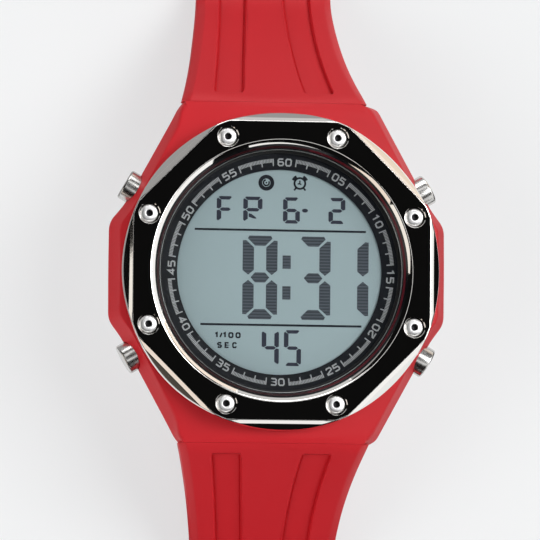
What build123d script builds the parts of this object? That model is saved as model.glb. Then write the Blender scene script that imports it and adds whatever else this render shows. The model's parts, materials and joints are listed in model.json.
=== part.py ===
from build123d import *
import os
from math import atan2, cos, radians, sin, sqrt, tan

# Digital wristwatch in a moulded case, lying open on a table, face up.
# The strap halves slope down from the case and run out flat on the table.
# Origin: centre of the case back's outer face. +Z points out of the dial,
# +Y to 12 o'clock and +X to 3 o'clock. Lengths in millimetres.

os.makedirs("parts", exist_ok=True)

# General clearances
seat_gap = 0.05             # between pieces that slide or lie against each other
run_gap = 0.1               # round a moving piece
overrun = 1.0               # how far a cutting shape runs past what it cuts

# Case, seen from the front
case_width = 50.0           # over the cheeks at 3 and 9 o'clock
cheek_bulge = 0.2
cheek_length = 14.2
shoulder_inset = 2.1        # from the side of the case
shoulder_length = 19.4
lug_corner_inset = 10.05
lug_corner_setback = 0.93   # from the strap face
case_end_inset = 10.8
end_ledge = 1.7             # from the bezel to the strap face
cheek_ledge = 1.6           # from the bezel to the widest point

# Case, seen from the side
waist_height = 6.5          # widest level, above the case back
back_step = 0.8             # case back stands this far out of the case
upper_draft = 18.0          # degrees
lower_draft = 24.0
top_slope = 10.0

# Bezel: eight flats cut into a round ring
bezel_height = 3.5
bezel_facet_share = 0.0641   # of the bezel's radius
bezel_facet_drop = 1.6
bezel_land = 5.1            # from the outside to the crystal's edge
bezel_lip = 0.5             # overlap on the crystal
bezel_lip_height = 0.4
bezel_slope_width = 0.8
bezel_bevel_width = 0.6
bezel_bevel_rise = 0.5
bezel_flat_count = 8
bezel_edge_break = 0.2

# Bezel screws
screw_inset = 2.23          # from the bezel's outside
screw_head_diameter = 2.6
screw_head_height = 0.95
screw_head_chamfer = 0.25
screw_recess_diameter = 3.0
screw_recess_depth = 1.1
screw_shank_diameter = 1.4
screw_bite = 2.4            # length in the case
socket_width = 1.0
socket_depth = 0.5
socket_sides = 6

# Crystal, its gasket and the minute ring
crystal_thickness = 1.7
crystal_chamfer = 0.2
gasket_thickness = 0.3
crystal_ledge = 0.7
ring_depth = 1.1
ring_lip_height = 0.35
ring_rim_height = 0.85
ring_lip_width = 0.2

# Display stack, from the top down
polariser_thickness = 0.2
display_thickness = 1.6
display_ledge = 0.4         # front glass is smaller by this much
reflector_thickness = 0.2
light_guide_thickness = 0.8
display_overlap = 0.6       # display under the minute ring

# Movement
cavity_step = 0.7
module_gap = 0.5            # module frame to case wall
module_wall = 0.8           # beside the display
module_ledge = 1.2          # under the display
board_thickness = 0.8
chip_room = 1.35            # between the board and the light guide
board_inset = 1.4
contact_strip_length = 10.0
contact_strip_width = 1.0
light_guide_inset = 0.2
lamp_size = 1.6
lamp_height = 1.9
lamp_gap = 0.1
contact_strip_gap = 0.2
chip_diameter = 7.0
chip_height = 0.9
leaf_width = 2.0
leaf_thickness = 0.2
leaf_height = 1.8

# Battery and what lies beside it
battery_diameter = 20.0
battery_thickness = 2.5
battery_step_width = 1.2
battery_step_height = 0.4
battery_place = (3.0, 0)
battery_float = 0.2         # above the case back's inner face
battery_headroom = 0.1
tray_inset = 1.0
clip_width = 5.0
clip_thickness = 0.15
clip_length = 29.0
quartz_diameter = 2.0
quartz_length = 6.0
quartz_setback = 4.9         # from the tray's edge
quartz_offset = 5.0
sounder_diameter = 14.0
sounder_thickness = 0.2
sounder_recess = 0.3
sounder_place = (-5.0, -2.0)
sounder_spring_diameter = 1.8
sounder_spring_wire = 0.36
sounder_spring_turns = 4
sounder_spring_setback = 5.0
sounder_spring_offset = -4.5

# Case back, its gasket and screws
back_thickness = 1.6
back_rim = 4.2              # from the module cavity to the back's edge
back_chamfer = 0.3
back_groove_width = 0.6
back_groove_depth = 0.15
back_groove_inset = 4.2
seal_section = 0.6
seal_setback = 0.45
back_screw_setback = 2.5
back_screw_count = 4
back_screw_head_diameter = 2.6
back_screw_bite = 2.6
slot_width = 0.45
slot_depth = 0.35

# Buttons, one on each slanting flank
button_angle = 30.0
button_height = 6.2
cap_diameter = 4.6
cap_proud = 1.45
cap_length = 2.9
cap_round = 0.5
button_travel = 0.8
stem_diameter = 1.5
spring_wire = 0.3
spring_mean_diameter = 2.4
spring_seat_depth = 1.2
spring_turns = 3
button_seal_section = 0.34
button_seal_gap = 0.02
ring_clip_groove_depth = 0.2
ring_clip_mouth = 0.8
ring_clip_diameter = 2.4
ring_clip_thickness = 0.4
stem_tail = 0.5

# Strap: route seen from the side
table_drop = 13.0           # table below the case back's outer face
strap_slope = 45.0
strap_thickness = 3.0
strap_bend_radius = 14.3
strap_gap = 0.1             # to the case
upper_reach = 96.0          # buckle bar, from the case's centre
lower_reach = 136.0         # tip, from the case's centre

# Strap: width seen from above, at distances from the case
strap_root_width = 27.8
strap_neck_width = 23.8
strap_neck_run = 7.2
strap_waist_width = 21.0
strap_waist_run = 17.8
strap_band_width = 19.4
strap_band_run = 36.0
strap_end_width = 18.0
strap_tip_share = 0.278      # of the end's width
strap_edge_chamfer = 1.0

# Strap: the two long channels
channel_depth = 0.6
channel_setback = 1.4
channel_inner_root = 4.45
channel_inner_neck = 3.6
channel_inner_waist = 2.75
channel_outer_root = 9.0
channel_outer_neck = 7.85
channel_outer_waist = 6.9
channel_inner_end = 2.5
channel_outer_end = 6.0
channel_run = 34.0
channel_corner = 0.6

# Strap: adjustment holes
hole_count = 11
hole_pitch = 6.0
hole_diameter = 2.4
last_hole_setback = 8.8

# Strap pins and the lugs under the strap
pin_run = 2.3               # pin's axis, from the strap face
pin_height = 4.0
pin_diameter = 1.7
pin_tip_diameter = 0.9
pin_tip_length = 2.2
tongue_width = 16.4
knuckle_diameter = 3.8
lug_width = 3.0
lug_side_gap = 0.2
lug_diameter = 3.4
lug_cover = 0.6             # closed outer skin of the lug's hole
lug_clearance = 0.15
tongue_root_run = 8.0
tongue_root_cover = 0.2

# Buckle
bar_diameter = 1.5
bar_tip_diameter = 0.9
bar_tip_length = 1.4
buckle_knuckle_diameter = 2.9
buckle_frame_gap = 0.4
buckle_arm_width = 1.8
buckle_thickness = 1.8
buckle_length = 14.0
buckle_bar_width = 2.0       # crossbar that the tongue rests on
knuckle_blend = 4.0         # from a knuckle to the flat beyond it
buckle_corner_radius = 3.0
buckle_inner_radius = 1.2
tongue_slot_width = 3.4
tongue_bar_width = 2.8
tongue_thickness = 1.1
tongue_eye_diameter = 2.7
tongue_overhang = 0.8
tongue_tip_chamfer = 0.4
tongue_rise = 0.07          # above the frame it rests on
tongue_slot_length = 2.6

# Keepers
relief_depth = 0.9          # strap is thinner under the keepers
relief_setback = 30.8        # from the buckle bar
relief_ramp = 1.5
keeper_wall = 1.1
keeper_base = 0.85
keeper_round = 2.0
keeper_inner_round = 0.2
keeper_side_gap = 0.12
keeper_room = 3.3           # for the strap's tail
fixed_keeper_length = 5.0
fixed_keeper_setback = 7.0  # from the buckle bar
sliding_keeper_length = 6.0
sliding_keeper_setback = 18.0

# Counts and shares
half_turn = 180
middle_share = 0.5
upright_share = 0.1

# Worked out from the sizes above: case, bezel and what lies under the crystal
case_half_width = case_width / 2
bezel_radius = case_half_width - cheek_ledge
case_half_length = bezel_radius + end_ledge
bezel_facet_width = bezel_radius * bezel_facet_share
flat_distance = bezel_radius - bezel_facet_width
screw_circle = bezel_radius - screw_inset
screw_angle = half_turn / bezel_flat_count
crystal_radius = bezel_radius - bezel_land
ring_radius = crystal_radius - crystal_ledge
cavity_radius = ring_radius - cavity_step
module_radius = cavity_radius - module_gap
display_radius = module_radius - module_wall
window_radius = display_radius - display_overlap
module_inner_radius = display_radius - module_ledge
guide_radius = module_inner_radius - light_guide_inset
board_radius = module_radius - board_inset
tray_radius = module_radius - tray_inset
quartz_place = (quartz_setback - tray_radius, quartz_offset)
sounder_spring_place = (sounder_spring_setback - tray_radius, sounder_spring_offset)
back_radius = cavity_radius + back_rim
back_screw_circle = cavity_radius + back_screw_setback
back_screw_turn = half_turn / back_screw_count

# Heights, stacked up from the case back
sounder_floor = back_thickness - sounder_recess
battery_bottom = back_thickness + battery_float
board_height = battery_bottom + battery_thickness + battery_headroom
board_top = board_height + board_thickness
guide_bottom = board_top + chip_room
reflector_bottom = guide_bottom + light_guide_thickness
display_bottom = reflector_bottom + reflector_thickness
display_face = display_bottom + display_thickness
display_top = display_face + polariser_thickness
seat_height = display_top + seat_gap + ring_depth
crystal_top = seat_height + crystal_thickness
bezel_top = seat_height + bezel_height

# Strap route, in its YZ plane
fold_height = seat_height - end_ledge * tan(radians(top_slope))
strap_start = case_half_length + strap_gap
flat_top = strap_thickness - table_drop
slope_cos = cos(radians(strap_slope))
slope_sin = sin(radians(strap_slope))
bend_drop = strap_bend_radius - strap_bend_radius * slope_cos
slope_run = (fold_height - flat_top - bend_drop) / slope_sin
bend_end = strap_start + slope_run * slope_cos + strap_bend_radius * slope_sin
pin_y = case_half_length + pin_run
strap_tip_depth = strap_end_width * strap_tip_share


# Front outline of the case, first quadrant, at its widest level
cheek = (case_half_width - cheek_bulge, cheek_length / 2)
shoulder = (case_half_width - shoulder_inset, shoulder_length / 2)
lug_corner = (case_half_width - lug_corner_inset, case_half_length - lug_corner_setback)
case_end = (case_half_width - case_end_inset, case_half_length)
case_tail = (case_end[0], case_half_length + end_ledge)

# Distance from the centre to the slanting flank, and the buttons' places on it
flank_angle = atan2(shoulder[0] - lug_corner[0], lug_corner[1] - shoulder[1])
flank_distance = shoulder[0] * cos(flank_angle) + shoulder[1] * sin(flank_angle)
cap_face = flank_distance + cap_proud
cap_back = cap_face - cap_length
cap_pocket = cap_back - button_travel - run_gap
spring_floor = cap_pocket - spring_seat_depth
clip_face = cavity_radius - run_gap
stem_end = clip_face - ring_clip_thickness - stem_tail
seal_place = (spring_floor + clip_face) / 2
stem_bore_radius = stem_diameter / 2 + seat_gap
seal_groove_radius = stem_bore_radius - button_seal_section - button_seal_gap
spring_pocket_radius = (spring_mean_diameter + spring_wire) / 2 + run_gap + seat_gap
button_angles = {
    "upper_right": button_angle,
    "upper_left": half_turn - button_angle,
    "lower_left": half_turn + button_angle,
    "lower_right": -button_angle,
}


def button_plane(angle, distance):
    """Plane square to a button's axis, at a distance from the case's centre."""
    outward = (cos(radians(angle)), sin(radians(angle)), 0)
    foot = (distance * outward[0], distance * outward[1], button_height)
    return Plane(origin=foot, x_dir=(0, 0, 1), z_dir=outward)


def save(builder, label):
    """Label a finished piece and write it."""
    builder.part.label = label
    export_step(builder.part, f"parts/{label}.step")


def case_outline(inset):
    """Front outline of the case, drawn in from its widest level by an inset."""
    with BuildSketch() as outline:
        with BuildLine():
            Polyline(
                (case_half_width, 0),
                cheek,
                shoulder,
                lug_corner,
                case_end,
                case_tail,
                (0, case_tail[1]),
            )
            mirror(about=Plane.XZ)
            mirror(about=Plane.YZ)
        make_face()
        if inset:
            offset(amount=-inset, kind=Kind.INTERSECTION, mode=Mode.REPLACE)
    return outline.sketch


# Case body: a drafted shell, open at the top and the back, with four lugs
blank_top = seat_height + overrun
waist_outline = case_outline(0)
top_outline = case_outline((blank_top - waist_height) * tan(radians(upper_draft)))
back_outline = case_outline((waist_height - back_step) * tan(radians(lower_draft)))
slope_far = case_width
slope_far_height = seat_height - (slope_far - bezel_radius) * tan(radians(top_slope))
lug_inner = tongue_width / 2 + lug_side_gap
tongue_root_radius = strap_thickness / 2 - channel_depth - tongue_root_cover
lug_outer = lug_inner + lug_width

with BuildPart() as case_body:
    for outline, level in ((top_outline, blank_top), (back_outline, back_step)):
        with BuildSketch(Plane.XY.offset(waist_height)):
            add(waist_outline)
        with BuildSketch(Plane.XY.offset(level)):
            add(outline)
        loft(ruled=True)
    split(bisect_by=Plane.XZ.offset(-case_half_length), keep=Keep.TOP)
    split(bisect_by=Plane.XZ.offset(case_half_length), keep=Keep.BOTTOM)
    with BuildSketch(Plane.XZ):
        with BuildLine():
            Polyline(
                (0, back_step - overrun),
                (slope_far, back_step - overrun),
                (slope_far, slope_far_height),
                (bezel_radius, seat_height),
                (0, seat_height),
                close=True,
            )
        make_face()
    revolve(axis=Axis.Z, mode=Mode.INTERSECT)
    # Lugs, hidden under the strap's ends
    for side in (lug_inner, -lug_outer):
        with BuildSketch(Plane.YZ.offset(side)):
            for end in (pin_y, -pin_y):
                with Locations((end, pin_height)):
                    Circle(lug_diameter / 2)
                with Locations((end - end * pin_run / pin_y, pin_height)):
                    Rectangle(2 * pin_run, lug_diameter)
        extrude(amount=lug_width)
    with BuildSketch(Plane.YZ):
        with Locations((pin_y, pin_height), (-pin_y, pin_height)):
            Circle(pin_tip_diameter / 2 + seat_gap)
    extrude(amount=lug_outer - lug_cover, both=True, mode=Mode.SUBTRACT)
    # Stepped bore for the movement, minute ring and gasket, and the back's recess
    with BuildSketch(Plane.XZ):
        with BuildLine():
            Polyline(
                (0, back_step - overrun),
                (back_radius + seat_gap, back_step - overrun),
                (back_radius + seat_gap, back_thickness),
                (cavity_radius, back_thickness),
                (cavity_radius, seat_height - ring_depth),
                (ring_radius, seat_height - ring_depth),
                (ring_radius, seat_height - gasket_thickness),
                (crystal_radius + run_gap, seat_height - gasket_thickness),
                (crystal_radius + run_gap, seat_height + overrun),
                (0, seat_height + overrun),
                close=True,
            )
        make_face()
    revolve(axis=Axis.Z, mode=Mode.SUBTRACT)
    # Groove for the back's seal
    with BuildSketch(Plane.XY.offset(back_thickness)):
        Circle(cavity_radius + seal_setback + seal_section + seat_gap)
        Circle(cavity_radius + seal_setback - seat_gap, mode=Mode.SUBTRACT)
    extrude(amount=seal_section, mode=Mode.SUBTRACT)
    # Screw holes from the front and the back
    with Locations(Plane.XY.offset(seat_height)):
        with PolarLocations(screw_circle, bezel_flat_count, start_angle=screw_angle):
            Hole(screw_shank_diameter / 2 + seat_gap, depth=screw_bite + seat_gap)
    with BuildSketch(Plane.XY.offset(back_thickness)):
        with PolarLocations(back_screw_circle, back_screw_count, start_angle=back_screw_turn):
            Circle(screw_shank_diameter / 2 + seat_gap)
    extrude(amount=back_screw_bite + seat_gap, mode=Mode.SUBTRACT)
    # Button pockets, spring seats and stem bores
    for angle in button_angles.values():
        with BuildSketch(button_plane(angle, cap_pocket)):
            Circle(cap_diameter / 2 + run_gap)
        extrude(amount=case_half_width, mode=Mode.SUBTRACT)
        with BuildSketch(button_plane(angle, spring_floor)):
            Circle(spring_pocket_radius)
        extrude(amount=spring_seat_depth + overrun, mode=Mode.SUBTRACT)
        with BuildSketch(button_plane(angle, cavity_radius - overrun)):
            Circle(stem_bore_radius)
        extrude(amount=spring_floor - cavity_radius + 2 * overrun, mode=Mode.SUBTRACT)
save(case_body, "case_body")


# Bezel: a round ring with an octagonal top, screw recesses and a stepped bore
facet_spread = bezel_facet_width * bezel_height / bezel_facet_drop
crystal_pocket = crystal_radius + run_gap
lip_bottom = crystal_top + seat_gap
lip_radius = crystal_radius - bezel_lip
slope_radius = lip_radius + bezel_slope_width

with BuildPart() as bezel:
    with BuildSketch(Plane.XY.offset(seat_height)):
        Circle(bezel_radius)
    extrude(amount=bezel_height)
    for apothem, level in (
        (flat_distance + facet_spread, seat_height),
        (flat_distance, bezel_top),
    ):
        with BuildSketch(Plane.XY.offset(level)):
            RegularPolygon(
                apothem, bezel_flat_count, major_radius=False, rotation=screw_angle
            )
    loft(ruled=True, mode=Mode.INTERSECT)
    flats = bezel.edges().filter_by(GeomType.LINE).group_by(Axis.Z)[-1]
    chamfer(flats, length=bezel_edge_break)
    with BuildSketch(Plane.XZ):
        with BuildLine():
            Polyline(
                (0, seat_height - overrun),
                (crystal_pocket, seat_height - overrun),
                (crystal_pocket, lip_bottom),
                (lip_radius, lip_bottom),
                (lip_radius, lip_bottom + bezel_lip_height),
                (slope_radius, bezel_top - bezel_bevel_rise),
                (slope_radius + bezel_bevel_width, bezel_top),
                (slope_radius + bezel_bevel_width, bezel_top + overrun),
                (0, bezel_top + overrun),
                close=True,
            )
        make_face()
    revolve(axis=Axis.Z, mode=Mode.SUBTRACT)
    with Locations(Plane.XY.offset(bezel_top)):
        with PolarLocations(screw_circle, bezel_flat_count, start_angle=screw_angle):
            CounterBoreHole(
                radius=screw_shank_diameter / 2 + seat_gap,
                counter_bore_radius=screw_recess_diameter / 2,
                counter_bore_depth=screw_recess_depth,
                depth=bezel_height,
            )
save(bezel, "bezel")


# Bezel screws: socket heads that stand in the bezel's recesses
head_seat = bezel_top - screw_recess_depth
head_radius = screw_head_diameter / 2

with BuildPart() as bezel_screw:
    with BuildSketch(Plane.XZ):
        with BuildLine():
            Polyline(
                (0, seat_height - screw_bite),
                (screw_shank_diameter / 2, seat_height - screw_bite),
                (screw_shank_diameter / 2, head_seat),
                (head_radius, head_seat),
                (head_radius, head_seat + screw_head_height - screw_head_chamfer),
                (head_radius - screw_head_chamfer, head_seat + screw_head_height),
                (0, head_seat + screw_head_height),
                close=True,
            )
        make_face()
    revolve(axis=Axis.Z)
    with BuildSketch(Plane.XY.offset(head_seat + screw_head_height)):
        RegularPolygon(socket_width / 2, socket_sides, major_radius=False)
    extrude(amount=-socket_depth, mode=Mode.SUBTRACT)

with BuildPart() as bezel_screws:
    with PolarLocations(screw_circle, bezel_flat_count, start_angle=screw_angle):
        add(bezel_screw.part)
save(bezel_screws, "bezel_screws")


# Crystal: a flat disc with a bevelled rim, clamped on its gasket by the bezel
with BuildPart() as crystal:
    with BuildSketch(Plane.XY.offset(seat_height)):
        Circle(crystal_radius)
    extrude(amount=crystal_thickness)
    chamfer(crystal.edges().sort_by(Axis.Z)[-1], length=crystal_chamfer)
save(crystal, "crystal")

with BuildPart() as crystal_gasket:
    with BuildSketch(Plane.XY.offset(seat_height - gasket_thickness)):
        Circle(crystal_radius)
        Circle(ring_radius + seat_gap, mode=Mode.SUBTRACT)
    extrude(amount=gasket_thickness)
save(crystal_gasket, "crystal_gasket")


# Minute ring: a sloping flange round the display window
ring_bottom = seat_height - ring_depth

with BuildPart() as minute_ring:
    with BuildSketch(Plane.XZ):
        with BuildLine():
            Polyline(
                (window_radius, ring_bottom),
                (ring_radius - seat_gap, ring_bottom),
                (ring_radius - seat_gap, ring_bottom + ring_rim_height),
                (window_radius + ring_lip_width, ring_bottom + ring_lip_height),
                (window_radius, ring_bottom + ring_lip_height),
                close=True,
            )
        make_face()
    revolve(axis=Axis.Z)
save(minute_ring, "minute_ring")


# Display: polariser, stepped glass cell, reflector and light guide
glass_radius = display_radius - display_ledge
strip_reach = module_inner_radius - contact_strip_gap
strip_edge = sqrt(strip_reach**2 - (contact_strip_length / 2) ** 2)
strip_y = strip_edge - contact_strip_width / 2
light_guide_depth = 2 * (strip_edge - contact_strip_width - contact_strip_gap)
rear_glass_top = display_bottom + display_thickness / 2

with BuildPart() as front_polariser:
    with BuildSketch(Plane.XY.offset(display_face)):
        Circle(glass_radius)
    extrude(amount=polariser_thickness)
save(front_polariser, "front_polariser")

with BuildPart() as display_cell:
    with BuildSketch(Plane.XY.offset(display_bottom)):
        Circle(display_radius)
    extrude(amount=display_thickness / 2)
    with BuildSketch(Plane.XY.offset(rear_glass_top)):
        Circle(glass_radius)
    extrude(amount=display_thickness / 2)
save(display_cell, "display_cell")

with BuildPart() as reflector:
    with BuildSketch(Plane.XY.offset(reflector_bottom)):
        Circle(guide_radius)
        Rectangle(2 * guide_radius, light_guide_depth, mode=Mode.INTERSECT)
    extrude(amount=reflector_thickness)
save(reflector, "reflector")

lamp_x = guide_radius - lamp_size / 2

with BuildPart() as light_guide:
    with BuildSketch(Plane.XY.offset(guide_bottom)):
        Circle(guide_radius)
        Rectangle(2 * guide_radius, light_guide_depth, mode=Mode.INTERSECT)
        with Locations((lamp_x, 0)):
            Rectangle(
                lamp_size + 2 * lamp_gap, lamp_size + 2 * lamp_gap, mode=Mode.SUBTRACT
            )
    extrude(amount=light_guide_thickness)
save(light_guide, "light_guide")

with BuildPart() as light_lamp:
    with BuildSketch(Plane.XY.offset(board_top)):
        with Locations((lamp_x, 0)):
            Rectangle(lamp_size, lamp_size)
    extrude(amount=lamp_height)
save(light_lamp, "light_lamp")


# Contact strips: rubber bars that carry the signals from board to display
with BuildPart() as contact_strips:
    with BuildSketch(Plane.XY.offset(board_top)):
        with Locations((0, strip_y), (0, -strip_y)):
            Rectangle(contact_strip_length, contact_strip_width)
    extrude(amount=display_bottom - board_top)
save(contact_strips, "contact_strips")


# Circuit board with its covered chip and the four button contacts
with BuildPart() as circuit_board:
    with BuildSketch(Plane.XY.offset(board_height)):
        Circle(board_radius)
    extrude(amount=board_thickness)
save(circuit_board, "circuit_board")

with BuildPart() as chip_cover:
    with BuildSketch(Plane.XZ):
        with BuildLine():
            ThreePointArc(
                (-chip_diameter / 2, board_top),
                (0, board_top + chip_height),
                (chip_diameter / 2, board_top),
            )
            Line((chip_diameter / 2, board_top), (-chip_diameter / 2, board_top))
        make_face()
        with Locations((-chip_diameter / 2, board_top)):
            Rectangle(
                chip_diameter, 2 * chip_height, align=Align.CENTER, mode=Mode.SUBTRACT
            )
    revolve(axis=Axis.Z)
save(chip_cover, "chip_cover")

leaf_radius = board_radius - leaf_thickness / 2

with BuildPart() as button_contacts:
    with BuildSketch(Plane.XY.offset(board_top)):
        for angle in button_angles.values():
            foot = (leaf_radius * cos(radians(angle)), leaf_radius * sin(radians(angle)))
            with Locations(Location((*foot, 0), (0, 0, angle))):
                Rectangle(leaf_thickness, leaf_width)
    extrude(amount=leaf_height)
save(button_contacts, "button_contacts")


# Module frame: holds the display over the board, notched for the button stems
notch_width = ring_clip_diameter + 2 * run_gap
notch_middle = (module_inner_radius + module_radius) / 2
notch_length = 2 * (module_radius - module_inner_radius)

with BuildPart() as module_frame:
    with BuildSketch(Plane.XZ):
        with BuildLine():
            Polyline(
                (module_inner_radius, board_top),
                (module_radius, board_top),
                (module_radius, display_face),
                (display_radius + seat_gap, display_face),
                (display_radius + seat_gap, display_bottom),
                (module_inner_radius, display_bottom),
                close=True,
            )
        make_face()
    revolve(axis=Axis.Z)
    with BuildSketch(Plane.XY.offset(board_top)):
        for angle in button_angles.values():
            foot = (notch_middle * cos(radians(angle)), notch_middle * sin(radians(angle)))
            with Locations(Location((*foot, 0), (0, 0, angle))):
                Rectangle(notch_length, notch_width)
    extrude(amount=display_bottom - board_top, mode=Mode.SUBTRACT)
save(module_frame, "module_frame")


# Battery, its tray and the clip across it
battery_radius = battery_diameter / 2
battery_top = battery_bottom + battery_thickness

with BuildPart() as battery:
    with BuildSketch(Plane.XY.offset(battery_bottom)):
        with Locations(battery_place):
            Circle(battery_radius)
    extrude(amount=battery_thickness - battery_step_height)
    with BuildSketch(Plane.XY.offset(battery_top - battery_step_height)):
        with Locations(battery_place):
            Circle(battery_radius - battery_step_width)
    extrude(amount=battery_step_height)
save(battery, "battery")

with BuildPart() as battery_tray:
    with BuildSketch(Plane.XY.offset(battery_bottom)):
        Circle(tray_radius)
        with Locations(battery_place):
            Circle(battery_radius + seat_gap, mode=Mode.SUBTRACT)
        with Locations(quartz_place):
            Rectangle(
                quartz_diameter + 2 * run_gap,
                quartz_length + 2 * run_gap,
                mode=Mode.SUBTRACT,
            )
        with Locations(sounder_spring_place):
            Circle(sounder_spring_diameter / 2 + run_gap, mode=Mode.SUBTRACT)
    extrude(amount=board_height - seat_gap - battery_bottom)
save(battery_tray, "battery_tray")

with BuildPart() as battery_clip:
    with BuildSketch(Plane.XY.offset(battery_bottom - clip_thickness)):
        Rectangle(clip_length, clip_width)
    extrude(amount=clip_thickness)
save(battery_clip, "battery_clip")


# Quartz can, lying under the board
quartz_start = quartz_place[1] - quartz_length / 2

with BuildPart() as quartz_can:
    with BuildSketch(Plane.XZ.offset(-quartz_start)):
        with Locations((quartz_place[0], board_height - quartz_diameter / 2)):
            Circle(quartz_diameter / 2)
    extrude(amount=-quartz_length)
save(quartz_can, "quartz_can")


# Sounder disc in the case back, and the spring that feeds it from the board
with BuildPart() as sounder_disc:
    with BuildSketch(Plane.XY.offset(sounder_floor)):
        with Locations(sounder_place):
            Circle(sounder_diameter / 2)
    extrude(amount=sounder_thickness)
save(sounder_disc, "sounder_disc")


def coil_points(radius, length, turns, steps):
    """Points along a helix about Z, from zero height, at equal turns."""
    points = []
    for step in range(turns * steps + 1):
        angle = radians(2 * half_turn * step / steps)
        height = length * step / (turns * steps)
        points.append((radius * cos(angle), radius * sin(angle), height))
    return points


def coil(mean_radius, wire, length, turns):
    """A wire coil about Z that fills a length: quarter turns joined end to end."""
    points = coil_points(mean_radius, length - wire, turns, coil_steps)
    rise = (length - wire) / (2 * turns * mean_radius)
    with BuildPart() as spring:
        with BuildLine():
            for first, second, third in zip(points[::2], points[1::2], points[2::2]):
                ThreePointArc(first, second, third)
        with BuildSketch(Plane(origin=points[0], z_dir=(0, 1, rise / coil_round))):
            RegularPolygon(wire / 2, wire_sides)
        sweep()
    return spring.part


coil_steps = 8
wire_sides = 6
coil_round = 3.14

with BuildPart() as sounder_spring:
    spring_length = board_height - sounder_floor - sounder_thickness
    lift = (*sounder_spring_place, sounder_floor + sounder_thickness + sounder_spring_wire / 2)
    with Locations(lift):
        add(
            coil(
                (sounder_spring_diameter - sounder_spring_wire) / 2,
                sounder_spring_wire,
                spring_length,
                sounder_spring_turns,
            )
        )
save(sounder_spring, "sounder_spring")


# Case back: a steel disc with a recess for the sounder and flush screws
with BuildPart() as case_back:
    with BuildSketch(Plane.XY):
        Circle(back_radius)
    extrude(amount=back_thickness)
    chamfer(case_back.edges().sort_by(Axis.Z)[0], length=back_chamfer)
    with BuildSketch(Plane.XY.offset(sounder_floor)):
        with Locations(sounder_place):
            Circle(sounder_diameter / 2 + seat_gap)
    extrude(amount=sounder_recess, mode=Mode.SUBTRACT)
    with BuildSketch(Plane.XY):
        Circle(back_radius - back_groove_inset)
        Circle(back_radius - back_groove_inset - back_groove_width, mode=Mode.SUBTRACT)
    extrude(amount=back_groove_depth, mode=Mode.SUBTRACT)
    with Locations(Plane.XY.rotated((half_turn, 0, 0))):
        with PolarLocations(back_screw_circle, back_screw_count, start_angle=back_screw_turn):
            CounterSinkHole(
                radius=screw_shank_diameter / 2 + seat_gap,
                counter_sink_radius=back_screw_head_diameter / 2 + seat_gap,
                depth=back_thickness,
                counter_sink_angle=half_turn / 2,
            )
save(case_back, "case_back")

with BuildPart() as back_seal:
    with BuildSketch(Plane.XY.offset(back_thickness)):
        Circle(cavity_radius + seal_setback + seal_section)
        Circle(cavity_radius + seal_setback, mode=Mode.SUBTRACT)
    extrude(amount=seal_section)
save(back_seal, "back_seal")

back_head_radius = back_screw_head_diameter / 2
back_head_depth = back_head_radius - screw_shank_diameter / 2

with BuildPart() as back_screw:
    with BuildSketch(Plane.XZ):
        with BuildLine():
            Polyline(
                (0, 0),
                (back_head_radius, 0),
                (screw_shank_diameter / 2, back_head_depth),
                (screw_shank_diameter / 2, back_thickness + back_screw_bite),
                (0, back_thickness + back_screw_bite),
                close=True,
            )
        make_face()
    revolve(axis=Axis.Z)
    with BuildSketch(Plane.XY):
        Rectangle(2 * back_head_radius, slot_width)
    extrude(amount=slot_depth, mode=Mode.SUBTRACT)

with BuildPart() as back_screws:
    with PolarLocations(back_screw_circle, back_screw_count, start_angle=back_screw_turn):
        add(back_screw.part)
save(back_screws, "back_screws")


# Buttons: cap and stem in one, each with its spring, seal and ring clip
clip_groove_radius = stem_diameter / 2 - ring_clip_groove_depth

for place, angle in button_angles.items():
    outward = Axis((0, 0, button_height), (cos(radians(angle)), sin(radians(angle)), 0))
    with BuildPart() as button:
        with BuildSketch(button_plane(angle, cap_back)):
            Circle(cap_diameter / 2)
        extrude(amount=cap_length)
        fillet(button.edges().sort_by(outward)[-1], radius=cap_round)
        with BuildSketch(button_plane(angle, stem_end)):
            Circle(stem_diameter / 2)
        extrude(amount=cap_back - stem_end)
        for start, width, floor_radius in (
            (seal_place - button_seal_section, 2 * button_seal_section, seal_groove_radius),
            (clip_face - ring_clip_thickness, ring_clip_thickness, clip_groove_radius),
        ):
            with BuildSketch(button_plane(angle, start)):
                Circle(stem_diameter)
                Circle(floor_radius, mode=Mode.SUBTRACT)
            extrude(amount=width, mode=Mode.SUBTRACT)
    save(button, f"button_{place}")

    with BuildPart() as ring_clip:
        with BuildSketch(button_plane(angle, clip_face - ring_clip_thickness)):
            Circle(ring_clip_diameter / 2)
            Circle(clip_groove_radius + button_seal_gap, mode=Mode.SUBTRACT)
            with Locations((-ring_clip_diameter / 2, 0)):
                Rectangle(ring_clip_diameter, ring_clip_mouth, mode=Mode.SUBTRACT)
        extrude(amount=ring_clip_thickness)
    save(ring_clip, f"ring_clip_{place}")

    with BuildPart() as button_seal:
        with BuildSketch(button_plane(angle, seal_place - button_seal_section / 2)):
            Circle(seal_groove_radius + button_seal_section)
            Circle(seal_groove_radius, mode=Mode.SUBTRACT)
        extrude(amount=button_seal_section)
    save(button_seal, f"button_seal_{place}")

    with BuildPart() as button_spring:
        with Locations(button_plane(angle, spring_floor + spring_wire / 2)):
            add(
                coil(
                    spring_mean_diameter / 2,
                    spring_wire,
                    cap_back - spring_floor,
                    spring_turns,
                )
            )
    save(button_spring, f"button_spring_{place}")


# Strap halves: both are drawn towards +Y, and the lower one is mirrored
root_half = strap_root_width / 2
pin_reach = tongue_width / 2 + pin_tip_length
notch_inner = tongue_width / 2
notch_outer = lug_outer + run_gap
notch_radius = lug_diameter / 2 + lug_clearance
bar_z = flat_top - buckle_knuckle_diameter / 2
relief_floor = flat_top - strap_thickness + relief_depth
bend_center = (bend_end, flat_top + strap_bend_radius)


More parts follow.
